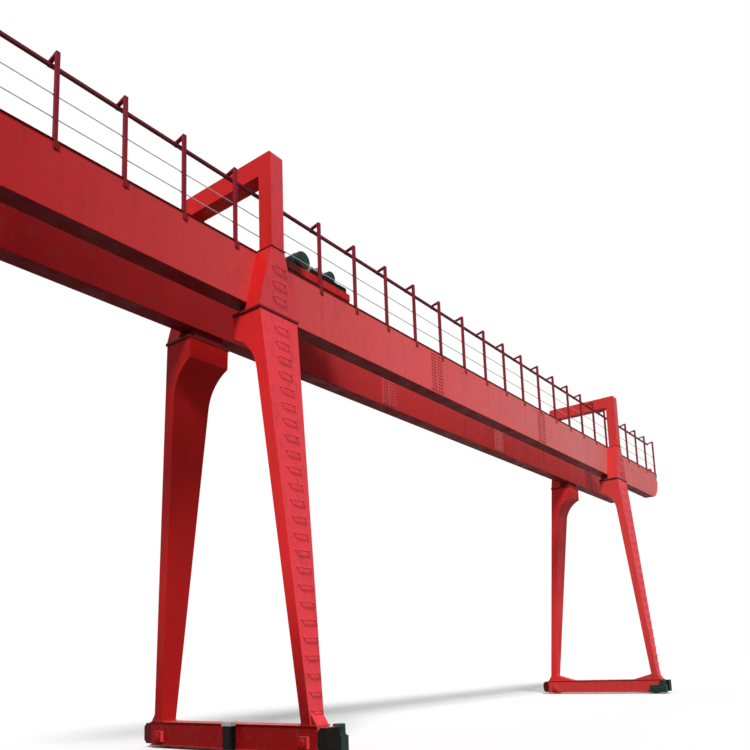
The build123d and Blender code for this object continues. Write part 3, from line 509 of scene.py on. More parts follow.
def turned(profile, around):
    """Surface of revolution about local z: ring i has radius profile[i][0] at height profile[i][1]."""
    radius, height = np.array(profile, float).T[:, :, None]
    return round_surface(radius, full_turn(around), height)


# %% [markdown]
# ## Bolts
# The girders come in lengths that are joined by bolted plates. A bolt here is a washer and a six-sided head
# with a turned crown, a couple of dozen faces in all. It is stamped in even rows on both faces of both
# girders, and left out where a railing bracket covers the plate.

# %% Bolt shape
def bolt(across, height):
    """Washer and hexagon head on local z = 0: a ring of twelve under rings of six, crown drawn in."""
    washer = turned([(0.72 * across, 0.0), (0.72 * across, 0.15 * height)], 12)
    head = turned([(0.56 * across, 0.1 * height), (0.56 * across, 0.85 * height), (0.47 * across, height)], 6)
    return joined(washer, head)


def box_of(node):
    """Lowest and highest corner of a solid as two arrays."""
    low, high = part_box(node)
    return np.array(low), np.array(high)


# %% Splice bolts
splice_low, splice_high = box_of("splice_plates")
bracket_bottom = box_of("post_brackets")[0][2]
post_low, post_high = box_of("front_rail_posts")
half_plate, edge_distance = 0.285, 0.045
splice_line = splice_high[0] - half_plate
columns = np.array([-0.225, -0.145, -0.065, 0.065, 0.145, 0.225])
columns = np.concatenate([splice_line + columns, -splice_line + columns])
rows = np.linspace(splice_low[2] + edge_distance, splice_high[2] - edge_distance, 12)
posts, half_post = 26, 0.03
post_pitch = (post_high[0] - post_low[0] - 2 * half_post) / (posts - 1)
post_lines = post_low[0] + half_post + post_pitch * np.arange(posts)
grid_x, grid_z = [a.ravel() for a in np.meshgrid(columns, rows)]
under_bracket = (np.abs(grid_x[:, None] - post_lines).min(1) < 0.075) & (grid_z > bracket_bottom - 0.03)
girder_line = (splice_high[1] + 0.59) / 2
girder_faces = [(side, face) for side in (-1, 1) for face in (-1, 1)]
shapes = []
for side, face in girder_faces:
    keep = ~under_bracket if side == face == -1 else np.ones_like(under_bracket)
    level = side * girder_line + face * (splice_high[1] - girder_line)
    splice_bolt = placed(bolt(0.030, 0.016), normal=(0, face, 0))
    shapes.append(stamped(splice_bolt, rows_of(grid_x[keep], level, grid_z[keep])))
make_piece("splice_bolts", shapes, "bolt_red", "crane", smooth=False)

# %% [markdown]
# ## Weld seams
# Box girders are welded along every edge between web and flange. The seam is a quarter-round bead whose
# size swells and shrinks a little along its length, as a hand-laid bead does. It is one grid of points:
# the length runs one way, the turn of the quarter circle the other.

# %% Girder seams
def bead(start, end, out, over, leg, step, seed):
    """Bead along a line: a right-angled corner filled by an arc whose leg varies as a slow random wave."""
    start, end, out, over = [np.array(corner, float) for corner in (start, end, out, over)]
    count = max(2, int(np.linalg.norm(end - start) / step))
    share = np.linspace(0, 1, count)[:, None, None]
    size = leg * (1 + np.random.default_rng(seed).normal(0, 0.10, count))[:, None, None]
    turns = np.array([(0, 0), (1, 0), (0.62, 0.38), (0, 1)])[None, :, :]
    points = start + share * (end - start) + size * (turns[..., :1] * out + turns[..., 1:] * over)
    faces = ring_faces(count, 4)
    outwards = np.cross(out, over) @ (end - start) > 0
    return points.reshape(-1, 3), (faces if outwards else [face[::-1] for face in faces])


web_low, web_high = box_of("front_webs")
flange_end = box_of("front_bottom_flange")[1][0]
web_face = 0.165  # from a girder's centre line to the outside of its web
seam_lines = ((web_low[2], (0, 0, 1), flange_end), (web_high[2], (0, 0, -1), web_high[0] - 0.02))
seams, seed = [], 0
for side, face in girder_faces:
    y = side * girder_line + face * web_face
    for z, over, reach in seam_lines:
        seed += 1
        seams.append(bead((-reach, y, z), (reach, y, z), (0, face, 0), over, 0.010, 0.06, seed))
make_piece("girder_seams", seams, "shaded_flange_red", "crane")

# %% Leg and saddle seams
support_lines = (-9.145, 9.145)
girder_top, joint_level = 9.27, 7.97
saddle_half, saddle_inside, saddle_outside = 0.1625, 0.995, 1.325
joint_half = 0.50
seams = []
for place, side in [(place, side) for place in support_lines for side in (-1, 1)]:
    face = side * saddle_outside
    for turn in (-1, 1):
        seed += 1
        edge_x = place + turn * saddle_half
        seams.append(bead((edge_x, side * saddle_inside, girder_top), (edge_x, face, girder_top),
                          (turn, 0, 0), (0, 0, 1), 0.012, 0.03, seed))
    seed += 1
    for half, level, later in ((saddle_half, girder_top, 0), (joint_half, joint_level, 1)):
        seams.append(bead((place - half, face, level), (place + half, face, level), (0, side, 0), (0, 0, 1),
                          0.012, 0.03, seed + later))
make_piece("support_seams", seams, "shaded_plate_red", "crane")

# %% [markdown]
# ## Rungs
# The ladder rungs are round bars bent into staples, welded to the leg by their two ends. The tread hangs a
# little lower than the ends, which keeps a boot from slipping off sideways. Each is a bar swept along a path
# with two quarter bends. Its tread keeps the height of its solid, and its width follows the tapering leg.

# %% Bars along a path
def swept(path, radius, sides, up=(0, 0, 1)):
    """Round bar along a path: rings square to the path's direction, their size given by radius."""
    forward = np.gradient(path, axis=0)
    forward /= np.linalg.norm(forward, axis=1, keepdims=True)
    side = np.cross(forward, np.asarray(up, float))
    side /= np.linalg.norm(side, axis=1, keepdims=True)
    over = np.cross(side, forward)
    angle = full_turn(sides)[None, :, None]
    size = np.broadcast_to(np.asarray(radius, float), len(path))[:, None, None]
    points = path[:, None, :] + size * (np.cos(angle) * side[:, None, :] + np.sin(angle) * over[:, None, :])
    return points.reshape(-1, 3), ring_faces(len(path), sides)


def staple(place, face, level, width, reach, bend, drop):
    """Path of a rung: out and down from the face, a quarter bend, across, a quarter bend, and back in."""
    turn = np.linspace(0, np.pi / 2, 5)
    left = np.c_[-width / 2 + bend * (1 - np.cos(turn)), reach - bend * (1 - np.sin(turn))]
    right = np.c_[width / 2 - bend * (1 - np.sin(turn)), reach - bend * (1 - np.cos(turn))]
    across, out = np.concatenate([[(-width / 2, -0.02)], left, right, [(width / 2, -0.02)]]).T
    return rows_of(place + across, face - out, level + drop * (1 - out / reach))


# %% Ladder rungs
for name, place in zip(("near_rungs", "far_rungs"), support_lines):
    corners = np.empty(len(nodes[name].data.vertices) * 3)
    nodes[name].data.vertices.foreach_get("co", corners)
    corners = corners.reshape(-1, 3)
    levels = np.unique(np.round(corners[:, 2], 3)).reshape(-1, 2).mean(1)
    bars = []
    for level in levels:
        front = corners[np.abs(corners[:, 2] - level) < 0.011][:, 1].min()
        leg_width = np.interp(level, [0.52, 7.92], [0.347, 0.979])
        width = min(0.31, 0.64 * leg_width)
        bars.append(swept(staple(place, front + 0.12, level, width, 0.065, 0.025, 0.03), 0.010, 8))
    rungs_piece = make_piece(f"{name}_bent", bars, "web_red", "crane")
    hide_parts(name)
    print(name, len(levels), "rungs from", levels[0].round(3), "to", levels[-1].round(3))

# %% [markdown]
# ## Railing fittings
# A railing post stands on a small foot plate with two bolts, and the thin rods pass through clips on the
# posts. The rear handrails are round tubes, so tubes take the place of their square solids. All of them
# repeat at the post pitch, which is measured from the solids. Plates and blocks have a small chamfer, as
# nothing cut from steel has a perfectly sharp edge.

# %% Block shape
def chamfered_block(width, depth, height, edge):
    """Block standing on local z = 0: four rings of eight corners, drawn in by the edge size at both ends."""
    half = np.array([width, depth]) / 2
    signs = np.array([(1, 1), (-1, 1), (-1, -1), (1, -1)])
    cut_first = np.array([(0, 1), (1, 0), (0, 1), (1, 0)])

    def outline(inset):
        """Eight points anticlockwise: each corner gives one before it and one after it."""
        corner = signs * (half - inset)
        before, after = corner - signs * edge * cut_first, corner - signs * edge * (1 - cut_first)
        return np.stack([before, after], 1).reshape(-1, 2)

    rings = [(edge, 0.0), (0.0, edge), (0.0, height - edge), (edge, height)]
    points = np.concatenate([np.c_[outline(inset), np.full(8, level)] for inset, level in rings])
    return points, ring_faces(4, 8)


# %% Post feet and rod clips
rail_line = 0.868
foot = chamfered_block(0.09, 0.15, 0.010, 0.003)
feet = []
for side in (-1, 1):
    where = rows_of(post_lines, side * rail_line, girder_top)
    feet.append(stamped(foot, where))
    feet += [stamped(bolt(0.018, 0.012), where + (shift, side * -0.05, 0.010)) for shift in (-0.033, 0.033)]
make_piece("post_feet", feet, "rail_red", "crane", smooth=False)

low, high = box_of("front_rail_rods")
clip = placed(chamfered_block(0.075, 0.030, 0.006, 0.002), normal=(0, 1, 0))
clips = [stamped(clip, rows_of(post_lines, high[1], level)) for level in (low[2] + 0.006, high[2] - 0.006)]
make_piece("rod_clips", clips, "rail_red", "crane", smooth=False)

# %% Rear handrails
low, high = box_of("rear_handrails")
tube_radius = 0.021
along_rail = np.concatenate([[low[0]], np.linspace(low[0] + 0.01, high[0] - 0.01, 60), [high[0]]])
size = np.concatenate([[0.012], np.full(60, tube_radius), [0.012]])
tubes = [swept(rows_of(along_rail, y, z), size, 12)
         for y, z in ((0.90, high[2] - tube_radius), (low[1] + tube_radius, low[2] + tube_radius))]
handrails = make_piece("rear_tubes", tubes, "rail_red", "crane")
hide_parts("rear_handrails")

# %% [markdown]
# ## Rail clips
# The trolley's rails are held down by clips on both sides, with one bolt each. They can be seen from above
# and between the posts. A clip is a chamfered block with a bolt on top, stamped every 600 mm.

# %% Trolley rail clips
clip = joined(chamfered_block(0.07, 0.060, 0.016, 0.004), placed(bolt(0.022, 0.014), (0, 0, 0.016)))
rail_end, clip_pitch, clip_offset = 14.1, 0.6, 0.053
clip_lines = np.arange(-rail_end, rail_end + 0.1, clip_pitch)
clips = [stamped(clip, rows_of(clip_lines, side * girder_line + face * clip_offset, girder_top))
         for side, face in girder_faces]
make_piece("rail_clips", clips, "rail_steel", "crane", smooth=False)

# %% [markdown]
# ## Finned motors
# An electric motor is a ribbed casing between two smooth end shields, with a cowl over its fan. The ribs
# run along the casing, so the surface is a radius that depends on both the angle and the length: a square
# wave round the circle, faded in and out near the ends. Feet, terminal box and lifting eye are added blocks.

# %% Motor shape
def ribbed_body(radius, length, ribs, rib_height, around=5):
    """Casing about local z: grooves between its ribs, from a wave of the angle, and smooth ends."""
    count = ribs * around
    groove = (np.arange(count) % around) >= around - 2
    profile = [(0.30, 0.0, 0), (0.86, 0.0, 0), (0.98, 0.012, 0), (1.0, 0.03, 0), (1.0, 0.11, 0),
               (0.97, 0.125, 0), (0.97, 0.14, 1), (0.97, 0.62, 1), (0.97, 0.64, 0), (1.0, 0.655, 0),
               (1.0, 0.70, 0), (0.96, 0.715, 0), (0.96, 0.93, 0), (0.90, 0.985, 0), (0.80, 1.0, 0),
               (0.25, 1.0, 0)]
    share, height, ribbed = np.array(profile).T[:, :, None]
    return round_surface(share * radius - rib_height * groove * ribbed, full_turn(count), height * length)


def eye_bolt(radius, bar):
    """Ring standing on local z = 0: a bar swept round a circle, on a short turned collar."""
    turn = np.linspace(-np.pi / 2, 1.5 * np.pi, 17)
    circle = rows_of(radius * np.cos(turn), 0, radius + bar + radius * np.sin(turn))
    collar = turned([(2 * bar, 0), (2 * bar, bar), (bar, 1.5 * bar)], 12)
    return joined(swept(circle, bar, 6, up=(0, 1, 0)), collar)


def lying_motor(name, axis_x, axis_z, radius, y_start, y_end, foot_level, ribs):
    """Motor along Y: ribbed body turned to Y, two feet, a terminal box on its side and an eye on top."""
    length = y_end - y_start
    shapes = [placed(ribbed_body(radius, length, ribs, 0.07 * radius), (axis_x, y_end, axis_z), (0, -1, 0))]
    foot = chamfered_block(1.4 * radius, 0.16 * length, axis_z - foot_level, 0.006)
    shapes += [placed(foot, (axis_x, y_end - share * length, foot_level)) for share in (0.2, 0.6)]
    box = chamfered_block(0.42 * length, 0.9 * radius, 0.30 * radius, 0.012)
    lid = chamfered_block(0.45 * length, 0.98 * radius, 0.07 * radius, 0.006)
    box_y = y_end - 0.38 * length
    for block, out in ((box, 0.88), (lid, 1.18)):
        shapes.append(placed(block, (axis_x + out * radius, box_y, axis_z + 0.15 * radius), (1, 0, 0)))
    shapes.append(placed(eye_bolt(0.12 * radius, 0.035 * radius), (axis_x, box_y, axis_z + 0.95 * radius)))
    return make_piece(name, shapes, "machine_green", "trolley")


# %% Hoist and trolley motors
bed_top = box_of("machine_bed")[1][2]
low, high = box_of("hoist_motor")
hoist_radius = (high[0] - low[0]) / 2
hoist_x, hoist_z = (high[0] + low[0]) / 2, high[2] - hoist_radius
hoist = lying_motor("hoist_motor_ribbed", hoist_x, hoist_z, hoist_radius, low[1], low[1] + 0.55, bed_top, 36)
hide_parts("hoist_motor")
gear_low, gear_high = box_of("hoist_gearbox")
shaft_start = low[1] + 0.54
shaft = turned([(0.035, 0.0), (0.035, gear_low[1] - shaft_start)], 16)
make_piece("hoist_shaft", [placed(shaft, (hoist_x, shaft_start, hoist_z), (0, 1, 0))],
           "greased_steel", "trolley")
low, high = box_of("trolley_motor")
small_radius = (high[0] - low[0]) / 2
travel = lying_motor("trolley_motor_ribbed", (high[0] + low[0]) / 2, high[2] - small_radius, small_radius,
                     low[1], high[1], bed_top, 28)
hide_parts("trolley_motor")

# %% Travel motors
low, high = box_of("travel_motors")
collar_height, collar_radius = 0.018, 0.12
body = ribbed_body(0.110, high[2] - low[2] - collar_height, 24, 0.008)
collar = turned([(0.115, 0), (collar_radius, 0.004), (collar_radius, 0.014), (0.115, collar_height)], 32)
nut = turned([(0.007, 0.0), (0.007, 0.012)], 6)
six = full_turn(6)
nuts = stamped(nut, rows_of(0.113 * np.cos(six), 0.113 * np.sin(six), 0.012))
drive = joined(placed(body, (0, 0, collar_height)), collar, nuts)
drives = make_piece("travel_motors_ribbed", [placed(drive, (x, (low[1] + high[1]) / 2, low[2]))
                                             for x in (low[0] + collar_radius, high[0] - collar_radius)],
                    "machine_green", "crane")
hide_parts("travel_motors")

# %% [markdown]
# ## Gearboxes
# A cast gear housing has a split flange with bolts along it, stiffening ribs and a filler cap. These small
# forms catch the light and say what the plain block is. They are thin blocks and bolts stood on its faces.

# %% Hoist gearbox details
middle, size = (gear_low + gear_high) / 2, gear_high - gear_low
split = gear_low[2] + 0.52 * size[2]
split_flange = chamfered_block(size[0] + 0.03, size[1] + 0.02, 0.028, 0.004)
shapes = [placed(split_flange, (middle[0], middle[1], split))]
rib = chamfered_block(0.018, 0.016, 0.44 * size[2], 0.003)
rib_offset = size[1] / 2 + 0.004
shapes += [placed(rib, (gear_low[0] + share * size[0], middle[1] + side * rib_offset, gear_low[2] + 0.03))
           for share in (0.12, 0.37, 0.63, 0.88) for side in (-1, 1)]
for share, radius in ((0.22, 0.085), (0.72, 0.13)):
    cap = turned([(radius, 0), (radius, 0.010), (0.9 * radius, 0.016), (0.3 * radius, 0.02)], 32)
    where = (gear_low[0] + share * size[0], gear_high[1], gear_low[2] + 0.46 * size[2])
    shapes.append(placed(cap, where, (0, 1, 0)))
filler = turned([(0.03, 0), (0.03, 0.03), (0.024, 0.045), (0.008, 0.05)], 16)
cover = chamfered_block(0.30, 0.14, 0.012, 0.003)
shapes += [placed(part, (middle[0] + shift, middle[1], gear_high[2]))
           for part, shift in ((filler, -0.2), (cover, 0.1))]
make_piece("gearbox_castings", shapes, "machine_green", "trolley")
bolt_x = np.linspace(gear_low[0] + 0.05, gear_high[0] - 0.05, 9)
bolts = [stamped(bolt(0.018, 0.012), rows_of(bolt_x, middle[1] + side * (size[1] / 2 + 0.003), split + 0.028))
         for side in (-1, 1)]
make_piece("gearbox_bolts", bolts, "bolt_steel", "trolley", smooth=False)

# %% Travel gearbox details
low, high = box_of("travel_gearboxes")
middle, size = (low + high) / 2, high - low
plate = chamfered_block(size[1] - 0.05, size[2] - 0.05, 0.012, 0.004)
hub = turned([(0.07, 0), (0.07, 0.016), (0.055, 0.026), (0.02, 0.03)], 28)
edge_y, edge_z = [a.T.ravel() for a in np.meshgrid(np.linspace(low[1] + 0.04, high[1] - 0.04, 6),
                                                   (low[2] + 0.04, high[2] - 0.04))]
shapes = []
for start, outward in ((low[0], 1), (high[0], -1)):
    normal, face_x = (outward, 0, 0), start + outward * 0.19
    shapes.append(placed(plate, (face_x, middle[1], middle[2]), normal))
    shapes += [placed(hub, (face_x + outward * 0.010, y, low[2] + 0.13), normal)
               for y in (high[1] - 0.13, low[1] + 0.15)]
    head = placed(bolt(0.016, 0.010), normal=normal)
    shapes.append(stamped(head, rows_of(face_x + outward * 0.012, edge_y, edge_z)))
make_piece("travel_gearbox_covers", shapes, "machine_green", "crane")

# %% [markdown]
# ## Rope drum, ropes and hook
# The drum is a cylinder with a rope groove cut in a spiral. Its radius depends on the angle and the length
# together: the phase of the groove moves one pitch for each turn. Rope lies in the outer turns, so there
# the groove turns into a round bulge. The ropes themselves are tubes with six strands twisted round them.

# %% Drum
def spiral_drum(radius, length, pitch, bare_start, bare_end, around=48, per_turn=7):
    """Drum about local z: the phase of its spiral, height over pitch less turns, gives groove or rope."""
    height = np.linspace(0, length, int(length / pitch * per_turn))[:, None]
    angle = full_turn(around)
    phase = (height / pitch - angle / (2 * np.pi)) % 1.0
    rope = np.sqrt(np.clip(1 - (2.3 * phase - 1.15) ** 2, 0, 1))
    wound = (height < bare_start) | (height > bare_end)
    return round_surface(radius + np.where(wound, 0.018 * rope, -0.004 * rope), angle, height)


low, high = box_of("rope_drum")
drum_axis = np.array(((low[0] + high[0]) / 2, 0.0, (low[2] + high[2]) / 2))
stand_low, stand_high = box_of("drum_stands")
ropes_low, ropes_high = box_of("hoist_ropes")
drum_start, drum_end = stand_low[1] + 0.04, stand_high[1] - 0.04
barrel_start = drum_start + 0.02
barrel = spiral_drum(0.178, drum_end - drum_start - 0.04, 0.020,
                     ropes_low[1] + 0.02 - barrel_start, ropes_high[1] - 0.02 - barrel_start)
disc = turned([(0.04, 0.0), (0.205, 0.0), (0.219, 0.004), (0.219, 0.016), (0.205, 0.02), (0.04, 0.02)], 56)
axle = turned([(0.03, 0.0), (0.03, high[1] - low[1])], 20)
drum_parts = ((barrel, barrel_start), (disc, drum_start), (disc, drum_end - 0.02), (axle, low[1]))
shapes = [placed(part, drum_axis + (0, y, 0), (0, 1, 0)) for part, y in drum_parts]
drum = make_piece("rope_drum_grooved", shapes, "greased_steel", "trolley")
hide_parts("rope_drum")

# %% Stranded ropes
def stranded(bottom, top, radius, strands, lay):
    """Rope along z: radius times one plus a small cosine of strands times (angle plus the twist)."""
    height = np.linspace(bottom, top, int((top - bottom) / 0.010))[:, None]
    angle = full_turn(strands * 4)
    reach = radius * (0.90 + 0.10 * np.cos(strands * (angle + 2 * np.pi * height / lay)))
    return round_surface(reach, angle, height)


rope_x = (ropes_low[0] + ropes_high[0]) / 2
rope_lines = (ropes_low[1] + 0.008, ropes_high[1] - 0.008)
rope = stranded(ropes_low[2] - 0.10, ropes_high[2], 0.008, 6, 0.11)
rope_piece = make_piece("hoist_ropes_stranded", [placed(rope, (rope_x, y, 0)) for y in rope_lines],
                        "greased_steel", "trolley")
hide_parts("hoist_ropes")

# %% [markdown]
# ## Hook block
# Both ropes end in cast sockets on one pin, held between cheek plates, with a cross head and a forged hook
# below. The sockets are turned shapes that widen downwards. The hook's bar is swept round its bowl with a
# size that grows towards the bottom of the bowl and thins to the tip, as a forging does.

# %% Block
low, high = box_of("hook_block")
middle = (low + high) / 2
cheek = chamfered_block(0.135, 0.225, 0.012, 0.004)
shapes = [placed(cheek, (middle[0], y, middle[2]), (0, 1, 0))
          for y in (low[1] + 0.004, middle[1] - 0.006, high[1] - 0.016)]
socket = turned([(0.024, 0.0), (0.030, 0.006), (0.030, 0.04), (0.024, 0.07), (0.014, 0.105),
                 (0.011, 0.112)], 20)
shapes += [placed(socket, (middle[0], y, high[2] - 0.112)) for y in rope_lines]
pin_length = high[1] - low[1]
pin = turned([(0.018, 0), (0.02, 0.004), (0.02, pin_length - 0.004), (0.018, pin_length)], 20)
shapes.append(placed(pin, (middle[0], low[1], high[2] - 0.09), (0, 1, 0)))
shapes.append(placed(chamfered_block(0.10, 0.26, 0.06, 0.008), (middle[0], 0.0, low[2])))
block = make_piece("hook_block_plates", shapes, "yellow_paint", "trolley")
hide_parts("hook_block")

# %% Hook
hook_top = box_of("hook")[1][2]
bowl_radius = 0.070
bowl_centre = hook_top - 0.060 - bowl_radius
turn = np.radians(np.linspace(90, 345, 40))
bowl = rows_of(rope_x, bowl_radius * np.cos(turn), bowl_centre + bowl_radius * np.sin(turn))
shank = rows_of(rope_x, 0, np.linspace(hook_top, bowl_centre + bowl_radius + 0.004, 6))
swell = np.interp(np.linspace(0, 1, 40), [0, 0.15, 0.5, 0.85, 1.0], [0.019, 0.022, 0.025, 0.016, 0.007])
bar = swept(np.concatenate([shank, bowl]), np.concatenate([np.full(6, 0.019), swell]), 16, up=(1, 0, 0))
nut = turned([(0.030, 0), (0.032, 0.004), (0.032, 0.022), (0.030, 0.026)], 8)
latch = chamfered_block(0.022, 0.105, 0.004, 0.0015)
shapes = [bar, placed(nut, (rope_x, 0, hook_top - 0.03)),
          placed(latch, (rope_x, 0.045, bowl_centre + 0.030), (0, -0.55, -0.83))]
hook_piece = make_piece("forged_hook", shapes, "yellow_paint", "trolley")
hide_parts("hook")

# %% [markdown]
# ## Running gear covers and the terminal box
# Each axle ends in a bearing with a round cover held by bolts, apart from the ends that a gearbox covers. The
# terminal box on the near sill beam gets the things that make it a cabinet: a lid, and a door leaf with a
# raised panel, hinges and a latch.

# %% Axle covers
flange_radius = 0.225
axle_y = box_of("gantry_wheels")[1][1] - flange_radius
cover = turned([(0.080, 0), (0.082, 0.004), (0.082, 0.012), (0.078, 0.016), (0.055, 0.018), (0.050, 0.026),
                (0.015, 0.030)], 32)
angle = six + np.pi / 6
shapes, bolts = [], []
for place in support_lines:
    for face, y in [(face, y) for face in (-1, 1) for y in (-axle_y, axle_y)]:
        under_gearbox = y < 0 and face * place < 0
        if not under_gearbox:
            centre, normal = np.array((place + face * 0.22, y, flange_radius)), (face, 0, 0)
            shapes.append(placed(cover, centre, normal))
            ring = rows_of(0.016 * face, 0.067 * np.cos(angle), 0.067 * np.sin(angle)) + centre
            bolts.append(stamped(placed(bolt(0.016, 0.009), normal=normal), ring))
# on the near sill the axle covers take the darker leg red, which is painted shade
make_piece("axle_covers", shapes, "rear_leg_red", "crane")
make_piece("axle_cover_bolts", bolts, "bolt_red", "crane", smooth=False)

# %% Terminal box fittings
low, high = box_of("terminal_box")
middle = (low + high) / 2
lid_bottom = high[2] - 0.070
door_place, normal = np.array((high[0] - 0.100, middle[1], (low[2] + lid_bottom) / 2)), (-1, 0, 0)
hinge = turned([(0.007, 0), (0.008, 0.002), (0.008, 0.048), (0.007, 0.05)], 12)
knob = turned([(0.014, 0), (0.014, 0.004), (0.009, 0.007), (0.009, 0.010), (0.004, 0.011)], 20)
shapes = [placed(chamfered_block(0.19, 0.36, 0.007, 0.002), door_place, normal),
          placed(chamfered_block(0.15, 0.32, 0.004, 0.0015), door_place - (0.007, 0, 0), normal)]
shapes += [placed(hinge, door_place + (-0.006, 0.098, rise)) for rise in (-0.14, 0.09)]
shapes.append(placed(knob, door_place + (-0.011, -0.06, 0.0), normal))
make_piece("terminal_box_door", shapes, "black_paint", "crane")
lid = chamfered_block(high[0] - low[0] + 0.004, high[1] - low[1] + 0.006, 0.074, 0.006)
make_piece("terminal_box_lid", [placed(lid, (middle[0] - 0.002, middle[1], lid_bottom - 0.002))],
           "grey_paint", "crane")

# %% [markdown]
# ## Trolley fittings
# The trolley's frame is welded plate, so it has a few stiffening ribs, and caps over the ends of its axles.
# The drum's stand carries a bearing cap. The brake has a drum and a thruster beside it.

# %% Ribs and axle caps
frame_low, frame_high = box_of("trolley_frame")
wheel_low, wheel_high = box_of("trolley_wheels")
wheel_radius = 0.095
wheel_lines = (wheel_low[0] + wheel_radius, wheel_high[0] - wheel_radius)
wheel_z = (wheel_low[2] + wheel_high[2]) / 2
rib = chamfered_block(0.012, 0.008, 0.13, 0.002)
rib_lines = [x for x in np.linspace(frame_low[0] + 0.12, frame_high[0] - 0.12, 5)
             if min(abs(x - frame_low[0] - 0.33), abs(x - frame_high[0] + 0.33)) > 0.14]
shapes = [placed(rib, (x, y, frame_low[2] + 0.008)) for y in (-0.848, 0.848) for x in rib_lines]
cap = turned([(0.042, 0), (0.044, 0.003), (0.040, 0.008), (0.012, 0.010)], 24)
shapes += [placed(cap, (x, side * frame_high[1], wheel_z), (0, side, 0))
           for x in wheel_lines for side in (-1, 1)]
make_piece("trolley_ribs", shapes, "trolley_red", "trolley")

# %% Brake and bearing
low, high = box_of("hoist_brake")
bearing = turned([(0.075, 0), (0.078, 0.004), (0.078, 0.014), (0.06, 0.02), (0.034, 0.02)], 28)
thruster = turned([(0.03, 0), (0.042, 0.006), (0.042, 0.20), (0.03, 0.206), (0.012, 0.21), (0.012, 0.26)], 20)
disc = turned([(0.10, 0), (0.105, 0.004), (0.105, 0.016), (0.10, 0.02)], 36)
shapes = [placed(bearing, drum_axis + (0, stand_low[1], 0), (0, -1, 0)),
          placed(thruster, (high[0] + 0.05, (low[1] + high[1]) / 2, frame_high[2])),
          placed(disc, (hoist_x, low[1], hoist_z), (0, -1, 0))]
make_piece("brake_and_bearing", shapes, "grey_paint", "trolley")

# %% [markdown]
# ## Wheels
# The travel wheels are steel castings: two flanges that hold the rail between them, a smooth tread, a thin
# web and a thick hub. One profile turned about the axle gives all of it. The trolley's small wheels are the
# same kind without flanges, and both take the place of solids that have flats where the real wheel is round.

# %% Gantry wheels
def mirrored(half_profile):
    """Profile of radius and height for one side of a wheel, followed by its mirror image."""
    half = np.array(half_profile, float)
    return np.concatenate([half, half[::-1] * (1, -1)])


wheel = turned(mirrored([(0.045, -0.140), (0.045, -0.078), (0.072, -0.076), (0.078, -0.070), (0.084, -0.026),
                         (0.150, -0.022), (0.168, -0.060), (0.174, -0.067), (0.215, -0.067), (0.225, -0.060),
                         (0.225, -0.052), (0.206, -0.044), (0.200, -0.036)]), 56)
low, high = box_of("gantry_wheels")
half_hub = 0.14
places = [(x, y, (low[2] + high[2]) / 2)
          for x in (low[0] + half_hub, high[0] - half_hub) for y in (-axle_y, axle_y)]
wheels = make_piece("gantry_wheels_turned", [stamped(placed(wheel, normal=(1, 0, 0)), places)],
                    "wheel_steel", "crane")
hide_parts("gantry_wheels")

# %% Trolley wheels
wheel = turned(mirrored([(0.030, -0.080), (0.030, -0.040), (0.044, -0.038), (0.047, -0.018), (0.074, -0.016),
                         (0.080, -0.034), (0.092, -0.034), (0.095, -0.030), (0.095, -0.010)]), 48)
half_width = 0.080
places = [(x, y, wheel_z)
          for x in wheel_lines for y in (wheel_low[1] + half_width, wheel_high[1] - half_width)]
rollers = make_piece("trolley_wheels_turned", [stamped(placed(wheel, normal=(0, 1, 0)), places)],
                     "wheel_steel", "trolley")
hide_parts("trolley_wheels")

# %% [markdown]
# ## Machine bed
# The machines stand on a rolled beam, and the cables between them lie in a duct along the front edge of the
# deck. A rolled beam is one outline drawn along its length. The duct is low in front of the hoist motor and
# full height beside the smaller machines, where it is seen from below as a dark strip. This black strip is
# partly painted shade: it stands for the shaded front edge of the deck.

# %% Beam shape
def section_bar(outline, start, end):
    """Bar along X: a closed outline of y and z, anticlockwise from the far end, repeated at both ends."""
    points = np.concatenate([rows_of(x, outline[:, 0], outline[:, 1]) for x in (start, end)])
    return points, ring_faces(2, len(outline))


def beam_outline(width, height, web, flange):
    """Outline of a rolled beam: two flanges joined by a thin web, about y = 0 and standing on z = 0."""
    right = [(width / 2, 0), (width / 2, flange), (web / 2, flange + 0.006),
             (web / 2, height - flange - 0.006), (width / 2, height - flange), (width / 2, height)]
    return np.array(right + [(-y, z) for y, z in right[::-1]])


# %% Bed and duct
low, high = box_of("machine_bed")
bed_height = high[2] - low[2]
beam_y, duct_y = -0.44, low[1] + 0.030
duct_start = -7.62
beam = beam_outline(0.12, bed_height, 0.012, 0.014)
shapes = [section_bar(beam + (beam_y, low[2]), low[0], high[0]),
          section_bar(beam + (high[1] - 0.06, low[2]), hoist_x - hoist_radius, hoist_x + hoist_radius)]
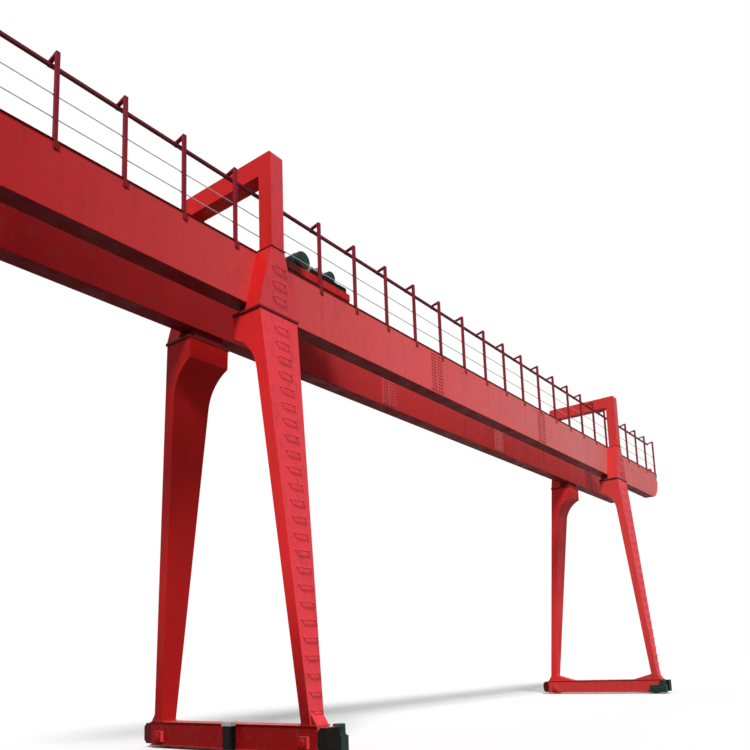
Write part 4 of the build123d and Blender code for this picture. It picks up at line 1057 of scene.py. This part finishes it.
# the full-height black duct is partly painted shade for the deck's shaded front edge
for start, end, height in ((low[0], duct_start, 0.035), (duct_start, high[0], 0.130)):
    duct = chamfered_block(end - start, 0.060, height, 0.005)
    shapes.append(placed(duct, ((start + end) / 2, duct_y, low[2])))
stiffener = chamfered_block(0.010, 0.112, bed_height - 0.029, 0.002)
shapes.append(stamped(stiffener, rows_of(np.arange(low[0] + 0.15, high[0], 0.22), beam_y, low[2] + 0.0145)))
bed = make_piece("bed_beams", shapes, "black_paint", "trolley", smooth=False)
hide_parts("machine_bed")
places = rows_of(np.linspace(duct_start + 0.14, high[0] - 0.14, 4), duct_y, low[2] + 0.128)
make_piece("duct_covers", [stamped(chamfered_block(0.25, 0.070, 0.006, 0.002), places)],
           "black_paint", "trolley", smooth=False)

# %% [markdown]
# ## Limit switch
# The hook's highest and lowest places are set by a geared switch in line with the drum. It is a round
# housing on a bracket, with a small shaft cap in front.

# %% Round switch housing
low, high = box_of("limit_switch")
housing = turned([(0.10, 0.0), (0.148, 0.004), (0.152, 0.010), (0.152, 0.064), (0.146, 0.074), (0.120, 0.082),
                  (0.050, 0.086), (0.046, 0.130), (0.036, 0.146), (0.010, 0.150)], 40)
screws = stamped(bolt(0.012, 0.008), rows_of(0.134 * np.cos(six), 0.134 * np.sin(six), 0.074))
bracket = chamfered_block(0.17, 0.06, 0.07, 0.006)
shapes = [placed(part, drum_axis + (0, high[1], 0), (0, -1, 0)) for part in (housing, screws)]
shapes.append(placed(bracket, (drum_axis[0], high[1] - 0.04, low[2])))
switch = make_piece("limit_switch_housing", shapes, "grey_paint", "trolley")
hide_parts("limit_switch")

# %% [markdown]
# ## Track clamps
# The track beside the trolley, which carries its cable, hangs from the bent tops of the railing posts. At
# each post a clamp holds it, with a bolt through its lower lip.

# %% Clamps along the cable track
low, high = box_of("cable_track")
middle, size = (low + high) / 2, high - low
clamp = placed(chamfered_block(0.055, size[1] + 0.012, size[2] + 0.006, 0.004), (0, 0, low[2] - 0.006))
lip_bolt = placed(bolt(0.016, 0.012), (0, -size[1] / 2 - 0.006, middle[2]), (0, -1, 0))
clamps = stamped(joined(clamp, lip_bolt), rows_of(post_lines[1:-1], middle[1], 0))
make_piece("track_clamps", [clamps], "track_paint", "crane", smooth=False)
